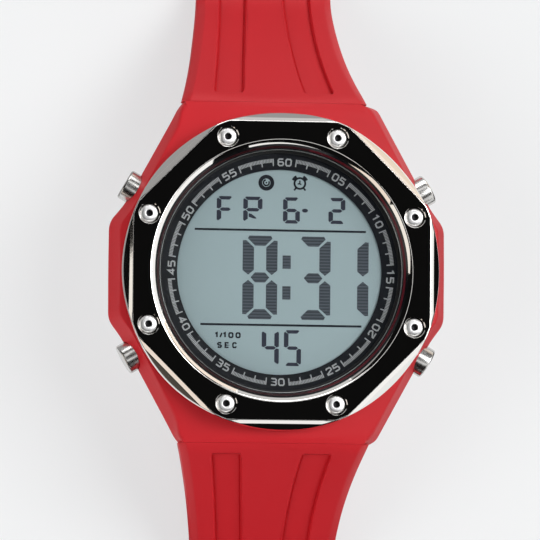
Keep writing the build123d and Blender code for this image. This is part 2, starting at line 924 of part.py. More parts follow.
def slope_point(run, depth):
    """Point in the YZ plane at a run along the strap's slope and a depth in it."""
    return (
        strap_start + run * slope_cos - depth * slope_sin,
        fold_height - run * slope_sin - depth * slope_cos,
    )


def bend_point(share, depth):
    """Point in the YZ plane at a share of the strap's bend and a depth in it."""
    angle = radians(strap_slope) * (1 - share)
    radius = strap_bend_radius + depth
    return (
        bend_center[0] - radius * sin(angle),
        bend_center[1] - radius * cos(angle),
    )


def band(first, last, high, low, reach):
    """Side view of a layer of the strap between two depths, out to a reach."""
    with BuildSketch() as side_view:
        with BuildLine():
            Polyline(first, bend_point(0, high))
            ThreePointArc(
                bend_point(0, high), bend_point(middle_share, high), bend_point(1, high)
            )
            Polyline(
                bend_point(1, high),
                (reach, flat_top - high),
                (reach, flat_top - low),
                bend_point(1, low),
            )
            ThreePointArc(
                bend_point(1, low), bend_point(middle_share, low), bend_point(0, low)
            )
            Polyline(bend_point(0, low), last, first)
        make_face()
    return side_view.sketch


def channel_cutter():
    """The two channels of a strap half, as one cutting shape."""
    near = strap_start + channel_setback
    neck = strap_start + strap_neck_run
    waist = strap_start + strap_waist_run
    far = strap_start + channel_run
    with BuildPart() as cutter:
        first = slope_point(0, -overrun)
        last = slope_point(0, channel_depth)
        with BuildSketch(Plane.YZ):
            add(band(first, last, -overrun, channel_depth, far + overrun))
        extrude(amount=root_half, both=True)
        with BuildSketch(Plane.XY.offset(-case_width)) as channels:
            with BuildLine():
                for root, middle, narrow, end in (
                    (
                        channel_inner_root,
                        channel_inner_neck,
                        channel_inner_waist,
                        channel_inner_end,
                    ),
                    (
                        channel_outer_root,
                        channel_outer_neck,
                        channel_outer_waist,
                        channel_outer_end,
                    ),
                ):
                    ThreePointArc((root, near), (middle, neck), (narrow, waist))
                    Line((narrow, waist), (end, far))
                Line((channel_inner_root, near), (channel_outer_root, near))
                Line((channel_inner_end, far), (channel_outer_end, far))
            make_face()
            fillet(channels.vertices().group_by(Axis.Y)[0], radius=channel_corner)
            mirror(about=Plane.YZ)
        extrude(amount=2 * case_width, mode=Mode.INTERSECT)
    return cutter.part


def strap_blank(reach, tip_depth):
    """One half of the strap: bent band, edges broken, channels and pin tongue."""
    with BuildPart() as blank:
        foot = (strap_start, fold_height - strap_thickness / slope_cos)
        with BuildSketch(Plane.YZ):
            add(band((strap_start, fold_height), foot, 0, strap_thickness, reach))
        extrude(amount=root_half, both=True)
        with BuildSketch(Plane.XY.offset(-case_width)):
            with BuildLine():
                ThreePointArc(
                    (root_half, strap_start),
                    (strap_neck_width / 2, strap_start + strap_neck_run),
                    (strap_waist_width / 2, strap_start + strap_waist_run),
                )
                Polyline(
                    (strap_waist_width / 2, strap_start + strap_waist_run),
                    (strap_band_width / 2, strap_start + strap_band_run),
                    (strap_end_width / 2, reach - tip_depth),
                )
                mirror(about=Plane.YZ)
                Line((-root_half, strap_start), (root_half, strap_start))
                corner = (strap_end_width / 2, reach - tip_depth)
                if tip_depth:
                    ThreePointArc(corner, (0, reach), (-corner[0], corner[1]))
                else:
                    Line(corner, (-corner[0], corner[1]))
            make_face()
        extrude(amount=2 * case_width, mode=Mode.INTERSECT)
        # Break the upper edges along the sides and round the tip
        faces = blank.faces()
        tops = faces.filter_by(lambda face: face.normal_at().Z > middle_share)
        sides = faces.filter_by(lambda face: face.center().Y > strap_start + run_gap)
        sides = sides.filter_by(lambda face: abs(face.normal_at().Z) < upright_share)
        top_edges = [edge for face in tops for edge in face.edges()]
        side_edges = [edge for face in sides for edge in face.edges()]
        rims = [
            edge
            for edge in top_edges
            if any(edge.is_same(other) for other in side_edges)
        ]
        chamfer(rims, length=strap_edge_chamfer)
        # Follow the case's slope where the strap meets it
        with BuildSketch(Plane.XZ):
            with BuildLine():
                near = strap_start - overrun
                far = strap_start + strap_neck_run
                Polyline(
                    (near, seat_height - (near - bezel_radius) * tan(radians(top_slope))),
                    (far, seat_height - (far - bezel_radius) * tan(radians(top_slope))),
                    (far, seat_height),
                    (near, seat_height),
                    close=True,
                )
            make_face()
        revolve(axis=Axis.Z, mode=Mode.SUBTRACT)
        # Two shallow channels, squared off near the case
        add(channel_cutter(), mode=Mode.SUBTRACT)
        # Tongue that wraps the spring bar, between the lugs' notches
        with BuildSketch(Plane.YZ):
            with Locations((pin_y, pin_height)):
                Circle(knuckle_diameter / 2)
            with Locations(slope_point(tongue_root_run, strap_thickness / 2)):
                Circle(tongue_root_radius)
            make_hull()
        extrude(amount=tongue_width / 2, both=True)
        for side in (notch_inner, -notch_outer):
            with BuildSketch(Plane.YZ.offset(side)):
                with Locations((pin_y, pin_height)):
                    Circle(notch_radius)
                for opening in (half_turn, half_turn + strap_slope):
                    with Locations(Location((pin_y, pin_height, 0), (0, 0, opening))):
                        Rectangle(
                            knuckle_diameter,
                            2 * notch_radius,
                            align=(Align.MIN, Align.CENTER),
                        )
            extrude(amount=notch_outer - notch_inner, mode=Mode.SUBTRACT)
        with BuildSketch(Plane.YZ):
            with Locations((pin_y, pin_height)):
                Circle(pin_diameter / 2 + seat_gap)
        extrude(amount=tongue_width / 2, both=True, mode=Mode.SUBTRACT)
    return blank.part


with BuildPart() as strap_upper:
    add(strap_blank(upper_reach, 0))
    # Thinner under the keepers, with a ramp
    relief_start = upper_reach - relief_setback
    with BuildSketch(Plane.YZ):
        with BuildLine():
            Polyline(
                (relief_start - overrun, -table_drop - overrun),
                (relief_start - overrun, -table_drop),
                (relief_start, -table_drop),
                (relief_start + relief_ramp, relief_floor),
                (upper_reach + overrun, relief_floor),
                (upper_reach + overrun, -table_drop - overrun),
                close=True,
            )
        make_face()
    extrude(amount=root_half, both=True, mode=Mode.SUBTRACT)
    # Knuckle round the buckle's bar, slotted for the tongue
    with BuildSketch(Plane.YZ):
        with Locations((upper_reach, bar_z)):
            Circle(buckle_knuckle_diameter / 2)
        with Locations((upper_reach - knuckle_blend, (flat_top + relief_floor) / 2)):
            Circle((flat_top - relief_floor) / 2)
        make_hull()
    extrude(amount=strap_end_width / 2, both=True)
    with BuildSketch(Plane.YZ):
        with Locations((upper_reach, bar_z)):
            Circle(bar_diameter / 2 + seat_gap)
    extrude(amount=strap_end_width / 2, both=True, mode=Mode.SUBTRACT)
    with BuildSketch(Plane.XY.offset(-case_width)):
        with Locations((0, upper_reach - tongue_slot_length)):
            Rectangle(tongue_slot_width, strap_end_width, align=(Align.CENTER, Align.MIN))
    extrude(amount=case_width, mode=Mode.SUBTRACT)
save(strap_upper, "strap_upper")

with BuildPart() as strap_lower:
    add(strap_blank(lower_reach, strap_tip_depth))
    with BuildSketch(Plane.XY.offset(-case_width)):
        for hole in range(hole_count):
            with Locations((0, lower_reach - last_hole_setback - hole * hole_pitch)):
                Circle(hole_diameter / 2)
    extrude(amount=case_width, mode=Mode.SUBTRACT)
    mirror(about=Plane.XZ, mode=Mode.REPLACE)
save(strap_lower, "strap_lower")


# Spring bars of the lugs and the bar of the buckle, each with thinner tips
def stepped_bar(center, body_radius, body_half, tip_radius, tip_half):
    """A round bar along X with a thinner tip at each end."""
    with BuildPart() as bar:
        for radius, half_length in ((body_radius, body_half), (tip_radius, tip_half)):
            with BuildSketch(Plane.YZ):
                with Locations(center):
                    Circle(radius)
            extrude(amount=half_length, both=True)
    return bar


for place, center_y in (("upper", pin_y), ("lower", -pin_y)):
    strap_pin = stepped_bar(
        (center_y, pin_height),
        pin_diameter / 2,
        tongue_width / 2,
        pin_tip_diameter / 2,
        pin_reach,
    )
    save(strap_pin, f"strap_pin_{place}")

bar_half = strap_end_width / 2
buckle_bar = stepped_bar(
    (upper_reach, bar_z),
    bar_diameter / 2,
    bar_half,
    bar_tip_diameter / 2,
    bar_half + bar_tip_length,
)
save(buckle_bar, "buckle_bar")


# Buckle frame: a flat U with bored arm ends
arm_inner = strap_end_width / 2 + buckle_frame_gap
arm_outer = arm_inner + buckle_arm_width
frame_far = upper_reach + buckle_length
frame_near = upper_reach + knuckle_blend

with BuildPart() as buckle_frame:
    with BuildSketch(Plane.XY.offset(-table_drop)) as frame_plan:
        with Locations((0, frame_near)):
            Rectangle(2 * arm_outer, frame_far - frame_near, align=(Align.CENTER, Align.MIN))
        fillet(frame_plan.vertices().group_by(Axis.Y)[-1], radius=buckle_corner_radius)
    extrude(amount=buckle_thickness)
    for side in (arm_inner, -arm_outer):
        with BuildSketch(Plane.YZ.offset(side)):
            with Locations((upper_reach, bar_z)):
                Circle(buckle_knuckle_diameter / 2)
            with Locations((frame_near, buckle_thickness / 2 - table_drop)):
                Circle(buckle_thickness / 2)
            make_hull()
        extrude(amount=buckle_arm_width)
    with BuildSketch(Plane.XY.offset(-table_drop - overrun)) as frame_window:
        with Locations((0, upper_reach)):
            Rectangle(
                2 * arm_inner,
                buckle_length - buckle_bar_width,
                align=(Align.CENTER, Align.MIN),
            )
        fillet(frame_window.vertices().group_by(Axis.Y)[-1], radius=buckle_inner_radius)
    extrude(amount=buckle_thickness + 2 * overrun, mode=Mode.SUBTRACT)
    with BuildSketch(Plane.YZ):
        with Locations((upper_reach, bar_z)):
            Circle(bar_tip_diameter / 2 + seat_gap)
    extrude(amount=bar_half + bar_tip_length + seat_gap, both=True, mode=Mode.SUBTRACT)
save(buckle_frame, "buckle_frame")


# Buckle tongue: an eye on the bar and a flat prong that rests on the frame
prong_bottom = buckle_thickness - table_drop + tongue_rise
prong_middle = prong_bottom + tongue_thickness / 2
prong_start = upper_reach + knuckle_blend

with BuildPart() as buckle_tongue:
    with BuildSketch(Plane.YZ):
        with Locations((upper_reach, bar_z)):
            Circle(tongue_eye_diameter / 2)
        with Locations((prong_start, prong_middle)):
            Circle(tongue_thickness / 2)
        make_hull()
        with Locations((prong_start, prong_middle)):
            Rectangle(
                frame_far + tongue_overhang - prong_start,
                tongue_thickness,
                align=(Align.MIN, Align.CENTER),
            )
        with Locations((upper_reach, bar_z)):
            Circle(bar_diameter / 2 + seat_gap, mode=Mode.SUBTRACT)
    extrude(amount=tongue_bar_width / 2, both=True)
    tip = buckle_tongue.faces().sort_by(Axis.Y)[-1]
    chamfer(tip.edges().sort_by(Axis.Z)[-1], length=tongue_tip_chamfer)
save(buckle_tongue, "buckle_tongue")


# Keepers: moulded loops round the strap, one fixed and one sliding
keeper_floor = relief_floor - seat_gap
keeper_ceiling = flat_top + keeper_room


def strap_half_width(distance):
    """Half width of the strap's straight part at a distance from the case's centre."""
    taper = (strap_band_width - strap_end_width) / 2
    length = upper_reach - strap_start - strap_band_run
    return strap_end_width / 2 + taper * (upper_reach - distance) / length


def keeper(setback, length, widest):
    """A rounded loop round the strap, a setback from the buckle's bar."""
    center = upper_reach - setback
    inner_half = strap_half_width(widest) + keeper_side_gap
    height = keeper_ceiling - keeper_floor
    with BuildPart() as loop:
        with BuildSketch(Plane.XZ.offset(-center)):
            with Locations((0, keeper_floor - keeper_base)):
                RectangleRounded(
                    2 * (inner_half + keeper_wall),
                    height + keeper_base + keeper_wall,
                    keeper_round,
                    align=(Align.CENTER, Align.MIN),
                )
            with Locations((0, keeper_floor)):
                RectangleRounded(
                    2 * inner_half,
                    height,
                    keeper_inner_round,
                    align=(Align.CENTER, Align.MIN),
                    mode=Mode.SUBTRACT,
                )
        extrude(amount=length / 2, both=True)
    return loop


fixed_front = upper_reach - fixed_keeper_setback - fixed_keeper_length / 2
fixed_keeper = keeper(fixed_keeper_setback, fixed_keeper_length, fixed_front)
save(fixed_keeper, "fixed_keeper")

sliding_front = upper_reach - relief_setback
sliding_keeper = keeper(sliding_keeper_setback, sliding_keeper_length, sliding_front)
save(sliding_keeper, "sliding_keeper")
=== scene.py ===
import json
from math import cos, pi, radians, sin, tan

import bmesh
import bpy
import numpy as np
from mathutils import Matrix, Vector


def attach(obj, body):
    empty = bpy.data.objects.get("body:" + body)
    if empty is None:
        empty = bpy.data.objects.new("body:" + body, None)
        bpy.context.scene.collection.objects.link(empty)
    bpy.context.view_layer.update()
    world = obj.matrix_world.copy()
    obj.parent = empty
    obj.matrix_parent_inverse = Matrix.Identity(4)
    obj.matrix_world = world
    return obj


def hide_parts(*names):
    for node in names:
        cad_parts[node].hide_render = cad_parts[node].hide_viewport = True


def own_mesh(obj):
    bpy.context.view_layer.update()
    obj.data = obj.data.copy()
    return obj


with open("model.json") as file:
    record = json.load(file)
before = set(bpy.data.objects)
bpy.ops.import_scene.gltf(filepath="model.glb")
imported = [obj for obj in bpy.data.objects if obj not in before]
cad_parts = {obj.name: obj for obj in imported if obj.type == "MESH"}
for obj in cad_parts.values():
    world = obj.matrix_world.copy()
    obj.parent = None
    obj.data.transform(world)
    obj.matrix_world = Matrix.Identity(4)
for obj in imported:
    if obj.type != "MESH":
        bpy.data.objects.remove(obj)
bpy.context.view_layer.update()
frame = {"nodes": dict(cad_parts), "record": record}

nodes = frame["nodes"]
MM = 0.001

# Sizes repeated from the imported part, in millimetres
CASE_WAIST, CASE_SEAT, CASE_FLOOR = 6.5, 10.5, 0.8
BEZEL_RADIUS, BEZEL_TOP, BEZEL_FLAT = 23.4, 14.0, 21.9
SCREW_CIRCLE, HEAD_SEAT = 21.17, 12.9
DISPLAY_TOP, MODULE_TOP, GASKET_SEAT, BACK_SEAT = 9.35, 9.4, 10.2, 1.6
CAVITY_RADIUS, DIAL_RADIUS, GLASS_RADIUS, BACK_RADIUS = 16.9, 17.55, 18.4, 21.15
BUTTON_FOOT, POCKET_FLOOR, POCKET_RADIUS = (0, 0, 6.2), 22.39, 2.4
BUTTON_DEGREES = {
    "upper_right": 30, "upper_left": 150, "lower_left": 210, "lower_right": 330,
}
SPRING_SEAT, SPRING_RADIUS, SPRING_WIRE, SPRING_LENGTH = 21.19, 1.2, 0.15, 2.1
SPRING_BAR, BUCKLE_BAR = (27.4, 4.0), (96, -11.45)
STRAP_THICKNESS, TIP_CENTRE, TIP_RADIUS = 3.0, 125.4, 10.6
BUCKLE_END, BUCKLE_EYE = 96.0, 1.45
TABLE = -13.0


def linked(name, data):
    """A new object of some data, put into the scene."""
    made = bpy.data.objects.new(name, data)
    bpy.context.scene.collection.objects.link(made)
    return made


# Camera at the photograph's angle
def look_from(lean_x, lean_y, roll, distance, target, lens):
    """A camera that leans off the dial's axis by two angles and rolls a little.

    Its direction is the dial's axis tipped by the tangents of the two leans."""
    back = Vector((-tan(lean_x), -tan(lean_y), 1)).normalized()
    up = Vector((sin(roll), cos(roll), 0))
    right = up.cross(back).normalized()
    up = back.cross(right)
    data = bpy.data.cameras.new("camera")
    data.sensor_width = 36
    data.lens = lens
    data.clip_start = 0.01
    data.clip_end = 20
    camera = linked("camera", data)
    turn = Matrix((right, up, back)).transposed().to_4x4()
    camera.matrix_world = Matrix.Translation(
        Vector(target) * MM + back * distance * MM
    ) @ turn
    bpy.context.scene.camera = camera


bpy.context.scene.view_settings.view_transform = "Standard"
look_from(
    lean_x=0.110, lean_y=0.0765, roll=-0.0068, distance=658.6, target=(-1.0, 0.58, 6.5),
    lens=297,
)


# Lamps, and cards that only polished surfaces show, placed in metres
def lamp(name, place, size, power, color=(1, 1, 1)):
    """A flat soft lamp that stands at a place and faces the watch."""
    data = bpy.data.lights.new(name, "AREA")
    data.shape = "RECTANGLE"
    data.size, data.size_y = size
    data.energy = power
    data.color = color
    lamp_object = linked(name, data)
    lamp_object.location = place
    lamp_object.rotation_mode = "QUATERNION"
    lamp_object.rotation_quaternion = Vector(place).to_track_quat("Z", "Y")
    lamp_object.visible_camera = False
    return lamp_object


lamp("key_lamp", (0.75, 0.20, 1.0), (0.55, 0.9), 10.5)
lamp("top_lamp", (0.0, 1.15, 0.55), (1.0, 0.5), 4.0)
# Light from the left and the front without a gloss of its own
lamp("fill_lamp", (-0.95, -0.2, 0.75), (0.8, 0.8), 6.4).visible_glossy = False
lamp("front_lamp", (-0.1, -1.0, 0.8), (0.9, 0.4), 3.0).visible_glossy = False


def card(name, place, size, glow, color=(1, 1, 1), tilt=0):
    """A pale card round the table that only polished surfaces show.

    Its power is its glow times pi times its area, so that it shows at that glow; the
    tilt, in degrees, is about the line from the card to the watch."""
    shown = lamp(name, place, size, glow * pi * size[0] * size[1], color)
    facing = shown.rotation_quaternion.to_matrix()
    tilted = facing @ Matrix.Rotation(radians(tilt), 3, "Z")
    shown.rotation_quaternion = tilted.to_quaternion()
    shown.visible_diffuse = False


card("left_card", (-1.212, -0.325, 0.20), (0.80, 0.62), 0.95, (1, 0.95, 0.88), 12)
card("front_left_card", (-0.83, -0.88, 0.35), (0.62, 0.24), 0.9, (1, 0.88, 0.78), -20)
card("front_left_low_card", (-0.88, -0.88, 0.02), (0.62, 0.22), 0.07, (1, 0.86, 0.72))
card("right_card", (1.15, -0.22, 0.42), (1.9, 0.98), 1.0)
card("back_right_card", (0.86, 0.86, 0.09), (0.9, 0.22), 1.0, (1, 0.89, 0.78))
card("back_card", (0.0, 1.2, 0.13), (1.12, 0.34), 0.62)
card("back_left_card", (-0.85, 0.85, 0.12), (0.9, 0.29), 0.34)
card("back_high_card", (0.0, 1.2, 0.70), (1.5, 0.42), 1.8)
card("front_card", (0.05, -1.2, 0.26), (0.9, 0.14), 0.95)
card("overhead_card_right", (0.74, 0.12, 1.5), (1.2, 0.35), 1.0)
card("overhead_card_left", (-0.42, 0.12, 1.5), (1.2, 0.35), 1.0)
card("overhead_card_back", (0.16, 0.70, 1.5), (1.2, 0.35), 1.0)
card("overhead_card_front", (0.16, -0.47, 1.5), (1.2, 0.35), 1.0)


# Node trees
def node_tree(block):
    """The block's node tree, switched on and emptied."""
    block.use_nodes = True
    tree = block.node_tree
    tree.nodes.clear()
    return tree


def add_node(tree, kind, **settings):
    """A new node of a kind, with its settings."""
    node = tree.nodes.new(kind)
    for name, value in settings.items():
        setattr(node, name, value)
    return node


def colored(tree, kind, color):
    """The shader of a new node of a kind, in a colour."""
    node = add_node(tree, kind)
    node.inputs["Color"].default_value = (*color, 1)
    return node.outputs[0]


def mixed(tree, share, first, second):
    """A mix of two shaders: the first where the share is nil, the second where one."""
    mix = add_node(tree, "ShaderNodeMixShader")
    for socket, source in zip(mix.inputs, (share, first, second)):
        tree.links.new(source, socket)
    return mix.outputs[0]


def larger(tree, first, second):
    """The larger of two values."""
    larger_of = add_node(tree, "ShaderNodeMath", operation="MAXIMUM")
    tree.links.new(first, larger_of.inputs[0])
    tree.links.new(second, larger_of.inputs[1])
    return larger_of.outputs[0]


# Surroundings: pale to the camera, dim for light, and nearly black in polished metal
world = bpy.data.worlds.new("studio")
bpy.context.scene.world = world
tree = node_tree(world)
rays = add_node(tree, "ShaderNodeLightPath").outputs
backdrop, room, mirrored_room = (
    colored(tree, "ShaderNodeBackground", color)
    for color in ((0.84, 0.85, 0.85), (0.09, 0.09, 0.09), (0.004, 0.004, 0.004))
)
unseen = mixed(tree, rays["Is Glossy Ray"], room, mirrored_room)
tree.links.new(
    mixed(tree, rays["Is Camera Ray"], unseen, backdrop),
    add_node(tree, "ShaderNodeOutputWorld").inputs[0],
)

# The table's paper, which glows a little for the camera, in mirrors and through glass
TABLE_REACH = 0.85
floor_mesh = bpy.data.meshes.new("floor")
floor_mesh.from_pydata(
    [(x * TABLE_REACH, y * TABLE_REACH, TABLE * MM - 0.00002)
     for x, y in ((-1, -1), (1, -1), (1, 1), (-1, 1))],
    [], [(0, 1, 2, 3)],
)
floor = linked("floor", floor_mesh)
floor_finish = bpy.data.materials.new("floor_paper")
tree = node_tree(floor_finish)
rays = add_node(tree, "ShaderNodeLightPath").outputs
paper = colored(tree, "ShaderNodeBsdfDiffuse", (0.34, 0.34, 0.34))
glow = colored(tree, "ShaderNodeEmission", (0.97, 0.99, 1.0))
glow.node.inputs["Strength"].default_value = 0.575
both = add_node(tree, "ShaderNodeAddShader")
tree.links.new(paper, both.inputs[0])
tree.links.new(glow, both.inputs[1])
plain = colored(tree, "ShaderNodeBsdfDiffuse", (0.85, 0.86, 0.87))
seen = larger(
    tree, larger(tree, rays["Is Camera Ray"], rays["Is Glossy Ray"]),
    rays["Is Transmission Ray"],
)
tree.links.new(
    mixed(tree, seen, plain, both.outputs[0]),
    add_node(tree, "ShaderNodeOutputMaterial").inputs[0],
)
floor_mesh.materials.append(floor_finish)


def sheet(name, first, last, near, tone):
    """A toned sheet on the table: a ring's sector between two angles in degrees.

    Its points are r (cos a, sin a), with r from near to the table's reach in metres. It
    lies 2 mm up and glows in its tone, and only polished surfaces show it, as a painted
    reflection."""
    a = np.radians(np.linspace(first, last, 25))
    r = np.array([near, TABLE_REACH])[:, None]
    lift = TABLE * MM + 0.002
    flat = np.stack([r * np.cos(a), r * np.sin(a), 0 * r + 0 * a + lift], -1)
    index = np.arange(50).reshape(2, 25)
    quads = np.stack([index[0, :-1], index[1, :-1], index[1, 1:], index[0, 1:]], -1)
    mesh = bpy.data.meshes.new(name)
    mesh.from_pydata(flat.reshape(-1, 3).tolist(), [], quads.tolist())
    made = bpy.data.materials.new(name)
    tree = node_tree(made)
    tree.links.new(
        colored(tree, "ShaderNodeEmission", tone),
        add_node(tree, "ShaderNodeOutputMaterial").inputs[0],
    )
    mesh.materials.append(made)
    laid_out = linked(name, mesh)
    laid_out.visible_camera = laid_out.visible_diffuse = laid_out.visible_shadow = False
    laid_out.visible_transmission = False


# Painted reflections: dark and pale glowing sheets that only the polished metal shows
sheet("right_sheet", -27, 26, 0.045, (0.004, 0.004, 0.004))
sheet("warm_sheet", 26, 74, 0.11, (0.90, 0.76, 0.62))
sheet("back_left_sheet", 74, 196, 0.035, (0.34, 0.34, 0.34))
sheet("front_left_sheet", 196, 244, 0.11, (0.62, 0.62, 0.61))
sheet("front_sheet", 244, 297, 0.035, (0.004, 0.004, 0.004))


# Shader effects that the finishes share: each pattern gives a height and a mottle
def detail_group(name, pattern, relief, numbers):
    """A node group of a surface's fine detail, from a pattern between 0 and 1.

    The roughness runs from low to high with the pattern's height, and the bump raises
    it by a relief in metres, scaled by the depth."""
    group = bpy.data.node_groups.new(name, "ShaderNodeTree")
    for socket, value in zip(("Size mm", "Depth", "Rough low", "Rough high"), numbers):
        made = group.interface.new_socket(
            socket, in_out="INPUT", socket_type="NodeSocketFloat"
        )
        made.default_value = value
    results = (("Roughness", "Float"), ("Normal", "Vector"), ("Mottle", "Float"))
    for socket, kind in results:
        group.interface.new_socket(
            socket, in_out="OUTPUT", socket_type=f"NodeSocket{kind}"
        )
    inside = add_node(group, "NodeGroupInput").outputs
    outside = add_node(group, "NodeGroupOutput").inputs
    where = add_node(group, "ShaderNodeTexCoord").outputs["Object"]
    height, mottle = pattern(group, where, inside["Size mm"])
    bump = add_node(group, "ShaderNodeBump")
    bump.inputs["Distance"].default_value = relief
    span = add_node(group, "ShaderNodeMapRange")
    link = group.links.new
    link(height, bump.inputs["Height"])
    link(inside["Depth"], bump.inputs["Strength"])
    link(height, span.inputs["Value"])
    link(inside["Rough low"], span.inputs["To Min"])
    link(inside["Rough high"], span.inputs["To Max"])
    link(span.outputs[0], outside["Roughness"])
    link(bump.outputs[0], outside["Normal"])
    link(mottle, outside["Mottle"])
    return group


def grain(group, where, size):
    """A noise of the grain's size for the height, and a broad one for the mottle."""
    per_metre = add_node(group, "ShaderNodeMath", operation="DIVIDE")
    per_metre.inputs[0].default_value = 1 / MM
    fine = add_node(group, "ShaderNodeTexNoise")
    fine.inputs["Detail"].default_value = 3
    broad = add_node(group, "ShaderNodeTexNoise")
    broad.inputs["Scale"].default_value = 90
    broad.inputs["Detail"].default_value = 2
    group.links.new(size, per_metre.inputs[1])
    group.links.new(per_metre.outputs[0], fine.inputs["Scale"])
    for noise in (fine, broad):
        group.links.new(where, noise.inputs["Vector"])
    return fine.outputs["Fac"], broad.outputs["Fac"]


def waves(group, along, size, low, high):
    """A sine along a length, at a pitch in millimetres; low to high becomes 0 to 1."""
    turns = add_node(group, "ShaderNodeMath", operation="MULTIPLY")
    turns.inputs[1].default_value = 2 * pi / MM
    pitch = add_node(group, "ShaderNodeMath", operation="DIVIDE")
    wave = add_node(group, "ShaderNodeMath", operation="SINE")
    height = add_node(group, "ShaderNodeMapRange")
    height.inputs["From Min"].default_value = low
    height.inputs["From Max"].default_value = high
    group.links.new(along, turns.inputs[0])
    group.links.new(turns.outputs[0], pitch.inputs[0])
    group.links.new(size, pitch.inputs[1])
    group.links.new(pitch.outputs[0], wave.inputs[0])
    group.links.new(wave.outputs[0], height.inputs["Value"])
    return height.outputs[0]


def hatch(group, where, size):
    """Level stripes that follow each other up the dial, darker ones the wider."""
    apart = add_node(group, "ShaderNodeSeparateXYZ")
    group.links.new(where, apart.inputs[0])
    stripes = waves(group, apart.outputs["Y"], size, -0.7, 0.4)
    return stripes, stripes


def turned_rings(group, where, size):
    """Ridges in rings about the dial's axis."""
    flattened = add_node(group, "ShaderNodeVectorMath", operation="MULTIPLY")
    flattened.inputs[1].default_value = (1, 1, 0)
    from_middle = add_node(group, "ShaderNodeVectorMath", operation="LENGTH")
    group.links.new(where, flattened.inputs[0])
    group.links.new(flattened.outputs[0], from_middle.inputs[0])
    ridges = waves(group, from_middle.outputs["Value"], size, -1, 1)
    return ridges, ridges


grain_group = detail_group("fine_grain", grain, 0.0001, (0.4, 0.1, 0.3, 0.4))
hatch_group = detail_group("fine_hatch", hatch, 0.00001, (0.45, 0.0, 0.4, 0.45))
ring_group = detail_group("turned_rings", turned_rings, 0.00003, (0.35, 0.2, 0.25, 0.38))


def finish_of(
    name, color, size_and_depth, rough, shade=0.9, group=grain_group, **sockets
):
    """A finish: a colour with a mottle, and roughness and bump from a group's pattern.

    The colour goes from itself to itself times the shade where the mottle is high."""
    made = bpy.data.materials.new(name)
    tree = node_tree(made)
    out = add_node(tree, "ShaderNodeOutputMaterial")
    shader = add_node(tree, "ShaderNodeBsdfPrincipled")
    detail = add_node(tree, "ShaderNodeGroup", node_tree=group)
    for socket, value in zip(detail.inputs, (*size_and_depth, *rough)):
        socket.default_value = value
    tone = add_node(tree, "ShaderNodeMix", data_type="RGBA")
    tone.inputs["A"].default_value = (*color, 1)
    tone.inputs["B"].default_value = (*[c * shade for c in color], 1)
    tree.links.new(detail.outputs["Mottle"], tone.inputs["Factor"])
    tree.links.new(tone.outputs["Result"], shader.inputs["Base Color"])
    tree.links.new(detail.outputs["Roughness"], shader.inputs["Roughness"])
    tree.links.new(detail.outputs["Normal"], shader.inputs["Normal"])
    for socket, value in sockets.items():
        shader.inputs[socket.replace("_", " ")].default_value = value
    tree.links.new(shader.outputs[0], out.inputs[0])
    return made


red_resin = finish_of(
    "red_resin", (0.62, 0.013, 0.021), (0.25, 0.15), (0.44, 0.54), 0.93,
    Specular_IOR_Level=0.25,
)
red_strap = finish_of(
    "red_strap", (0.62, 0.013, 0.021), (0.25, 0.2), (0.46, 0.56), 0.93,
    Specular_IOR_Level=0.28,
)
dark_mirror = finish_of(
    "dark_mirror", (0.92, 0.90, 0.87), (2.0, 0.01), (0.02, 0.05), 0.97, Metallic=1.0
)
screw_steel = finish_of(
    "screw_steel", (0.97, 0.97, 0.97), (0.1, 0.05), (0.34, 0.44), 0.95, Metallic=1.0
)
bright_steel = finish_of(
    "bright_steel", (0.80, 0.79, 0.78), (0.6, 0.03), (0.08, 0.14), 0.95, Metallic=1.0
)
button_steel = finish_of(
    "button_steel", (0.74, 0.73, 0.71), (0.3, 0.03), (0.20, 0.27), 0.95, Metallic=1.0
)
# Painted shade: near-black metal for the screws' sockets, standing in for the shade in
# the hollows
painted_socket_shade = finish_of(
    "painted_socket_shade", (0.05, 0.05, 0.055), (0.3, 0.05), (0.2, 0.3), 0.9, Metallic=1.0
)
# Painted reflection: dark red that stands for the red case mirrored in the bezel's step
painted_red_reflection = finish_of(
    "painted_red_reflection", (0.085, 0.002, 0.008), (0.4, 0.02), (0.25, 0.35), 0.7,
    Specular_IOR_Level=0.3,
)
step_black = finish_of(
    "step_black", (0.030, 0.001, 0.003), (0.4, 0.02), (0.25, 0.35), 0.7,
    Specular_IOR_Level=0.3,
)
satin_steel = finish_of(
    "satin_steel", (0.62, 0.61, 0.60), (0.15, 0.25), (0.25, 0.38), 0.9, Metallic=1.0
)
turned_steel = finish_of(
    "turned_steel", (0.64, 0.63, 0.62), (0.35, 0.25), (0.24, 0.36), 0.92, ring_group,
    Metallic=1.0,
)
gilt_brass = finish_of(
    "gilt_brass", (0.72, 0.50, 0.22), (0.3, 0.1), (0.2, 0.3), 0.9, Metallic=1.0
)
black_resin = finish_of("black_resin", (0.012, 0.012, 0.013), (0.2, 0.1), (0.3, 0.4))
gloss_black = finish_of("gloss_black", (0.006, 0.006, 0.007), (1.0, 0.02), (0.12, 0.2))
black_rubber = finish_of("black_rubber", (0.02, 0.02, 0.02), (0.2, 0.3), (0.6, 0.75))
grey_rubber = finish_of("grey_rubber", (0.20, 0.20, 0.21), (0.2, 0.3), (0.6, 0.75))
green_board = finish_of("green_board", (0.02, 0.14, 0.06), (0.5, 0.1), (0.3, 0.45))
display_film = finish_of(
    "display_film", (0.345, 0.435, 0.46), (3.0, 0.0), (0.4, 0.45), 0.985,
    Specular_IOR_Level=0.2,
)
display_ink = finish_of(
    "display_ink", (0.031, 0.034, 0.052), (1.0, 0.0), (0.4, 0.45), Specular_IOR_Level=0.1
)
display_line = finish_of(
    "display_line", (0.010, 0.012, 0.018), (1.0, 0.0), (0.4, 0.45), Specular_IOR_Level=0.1
)
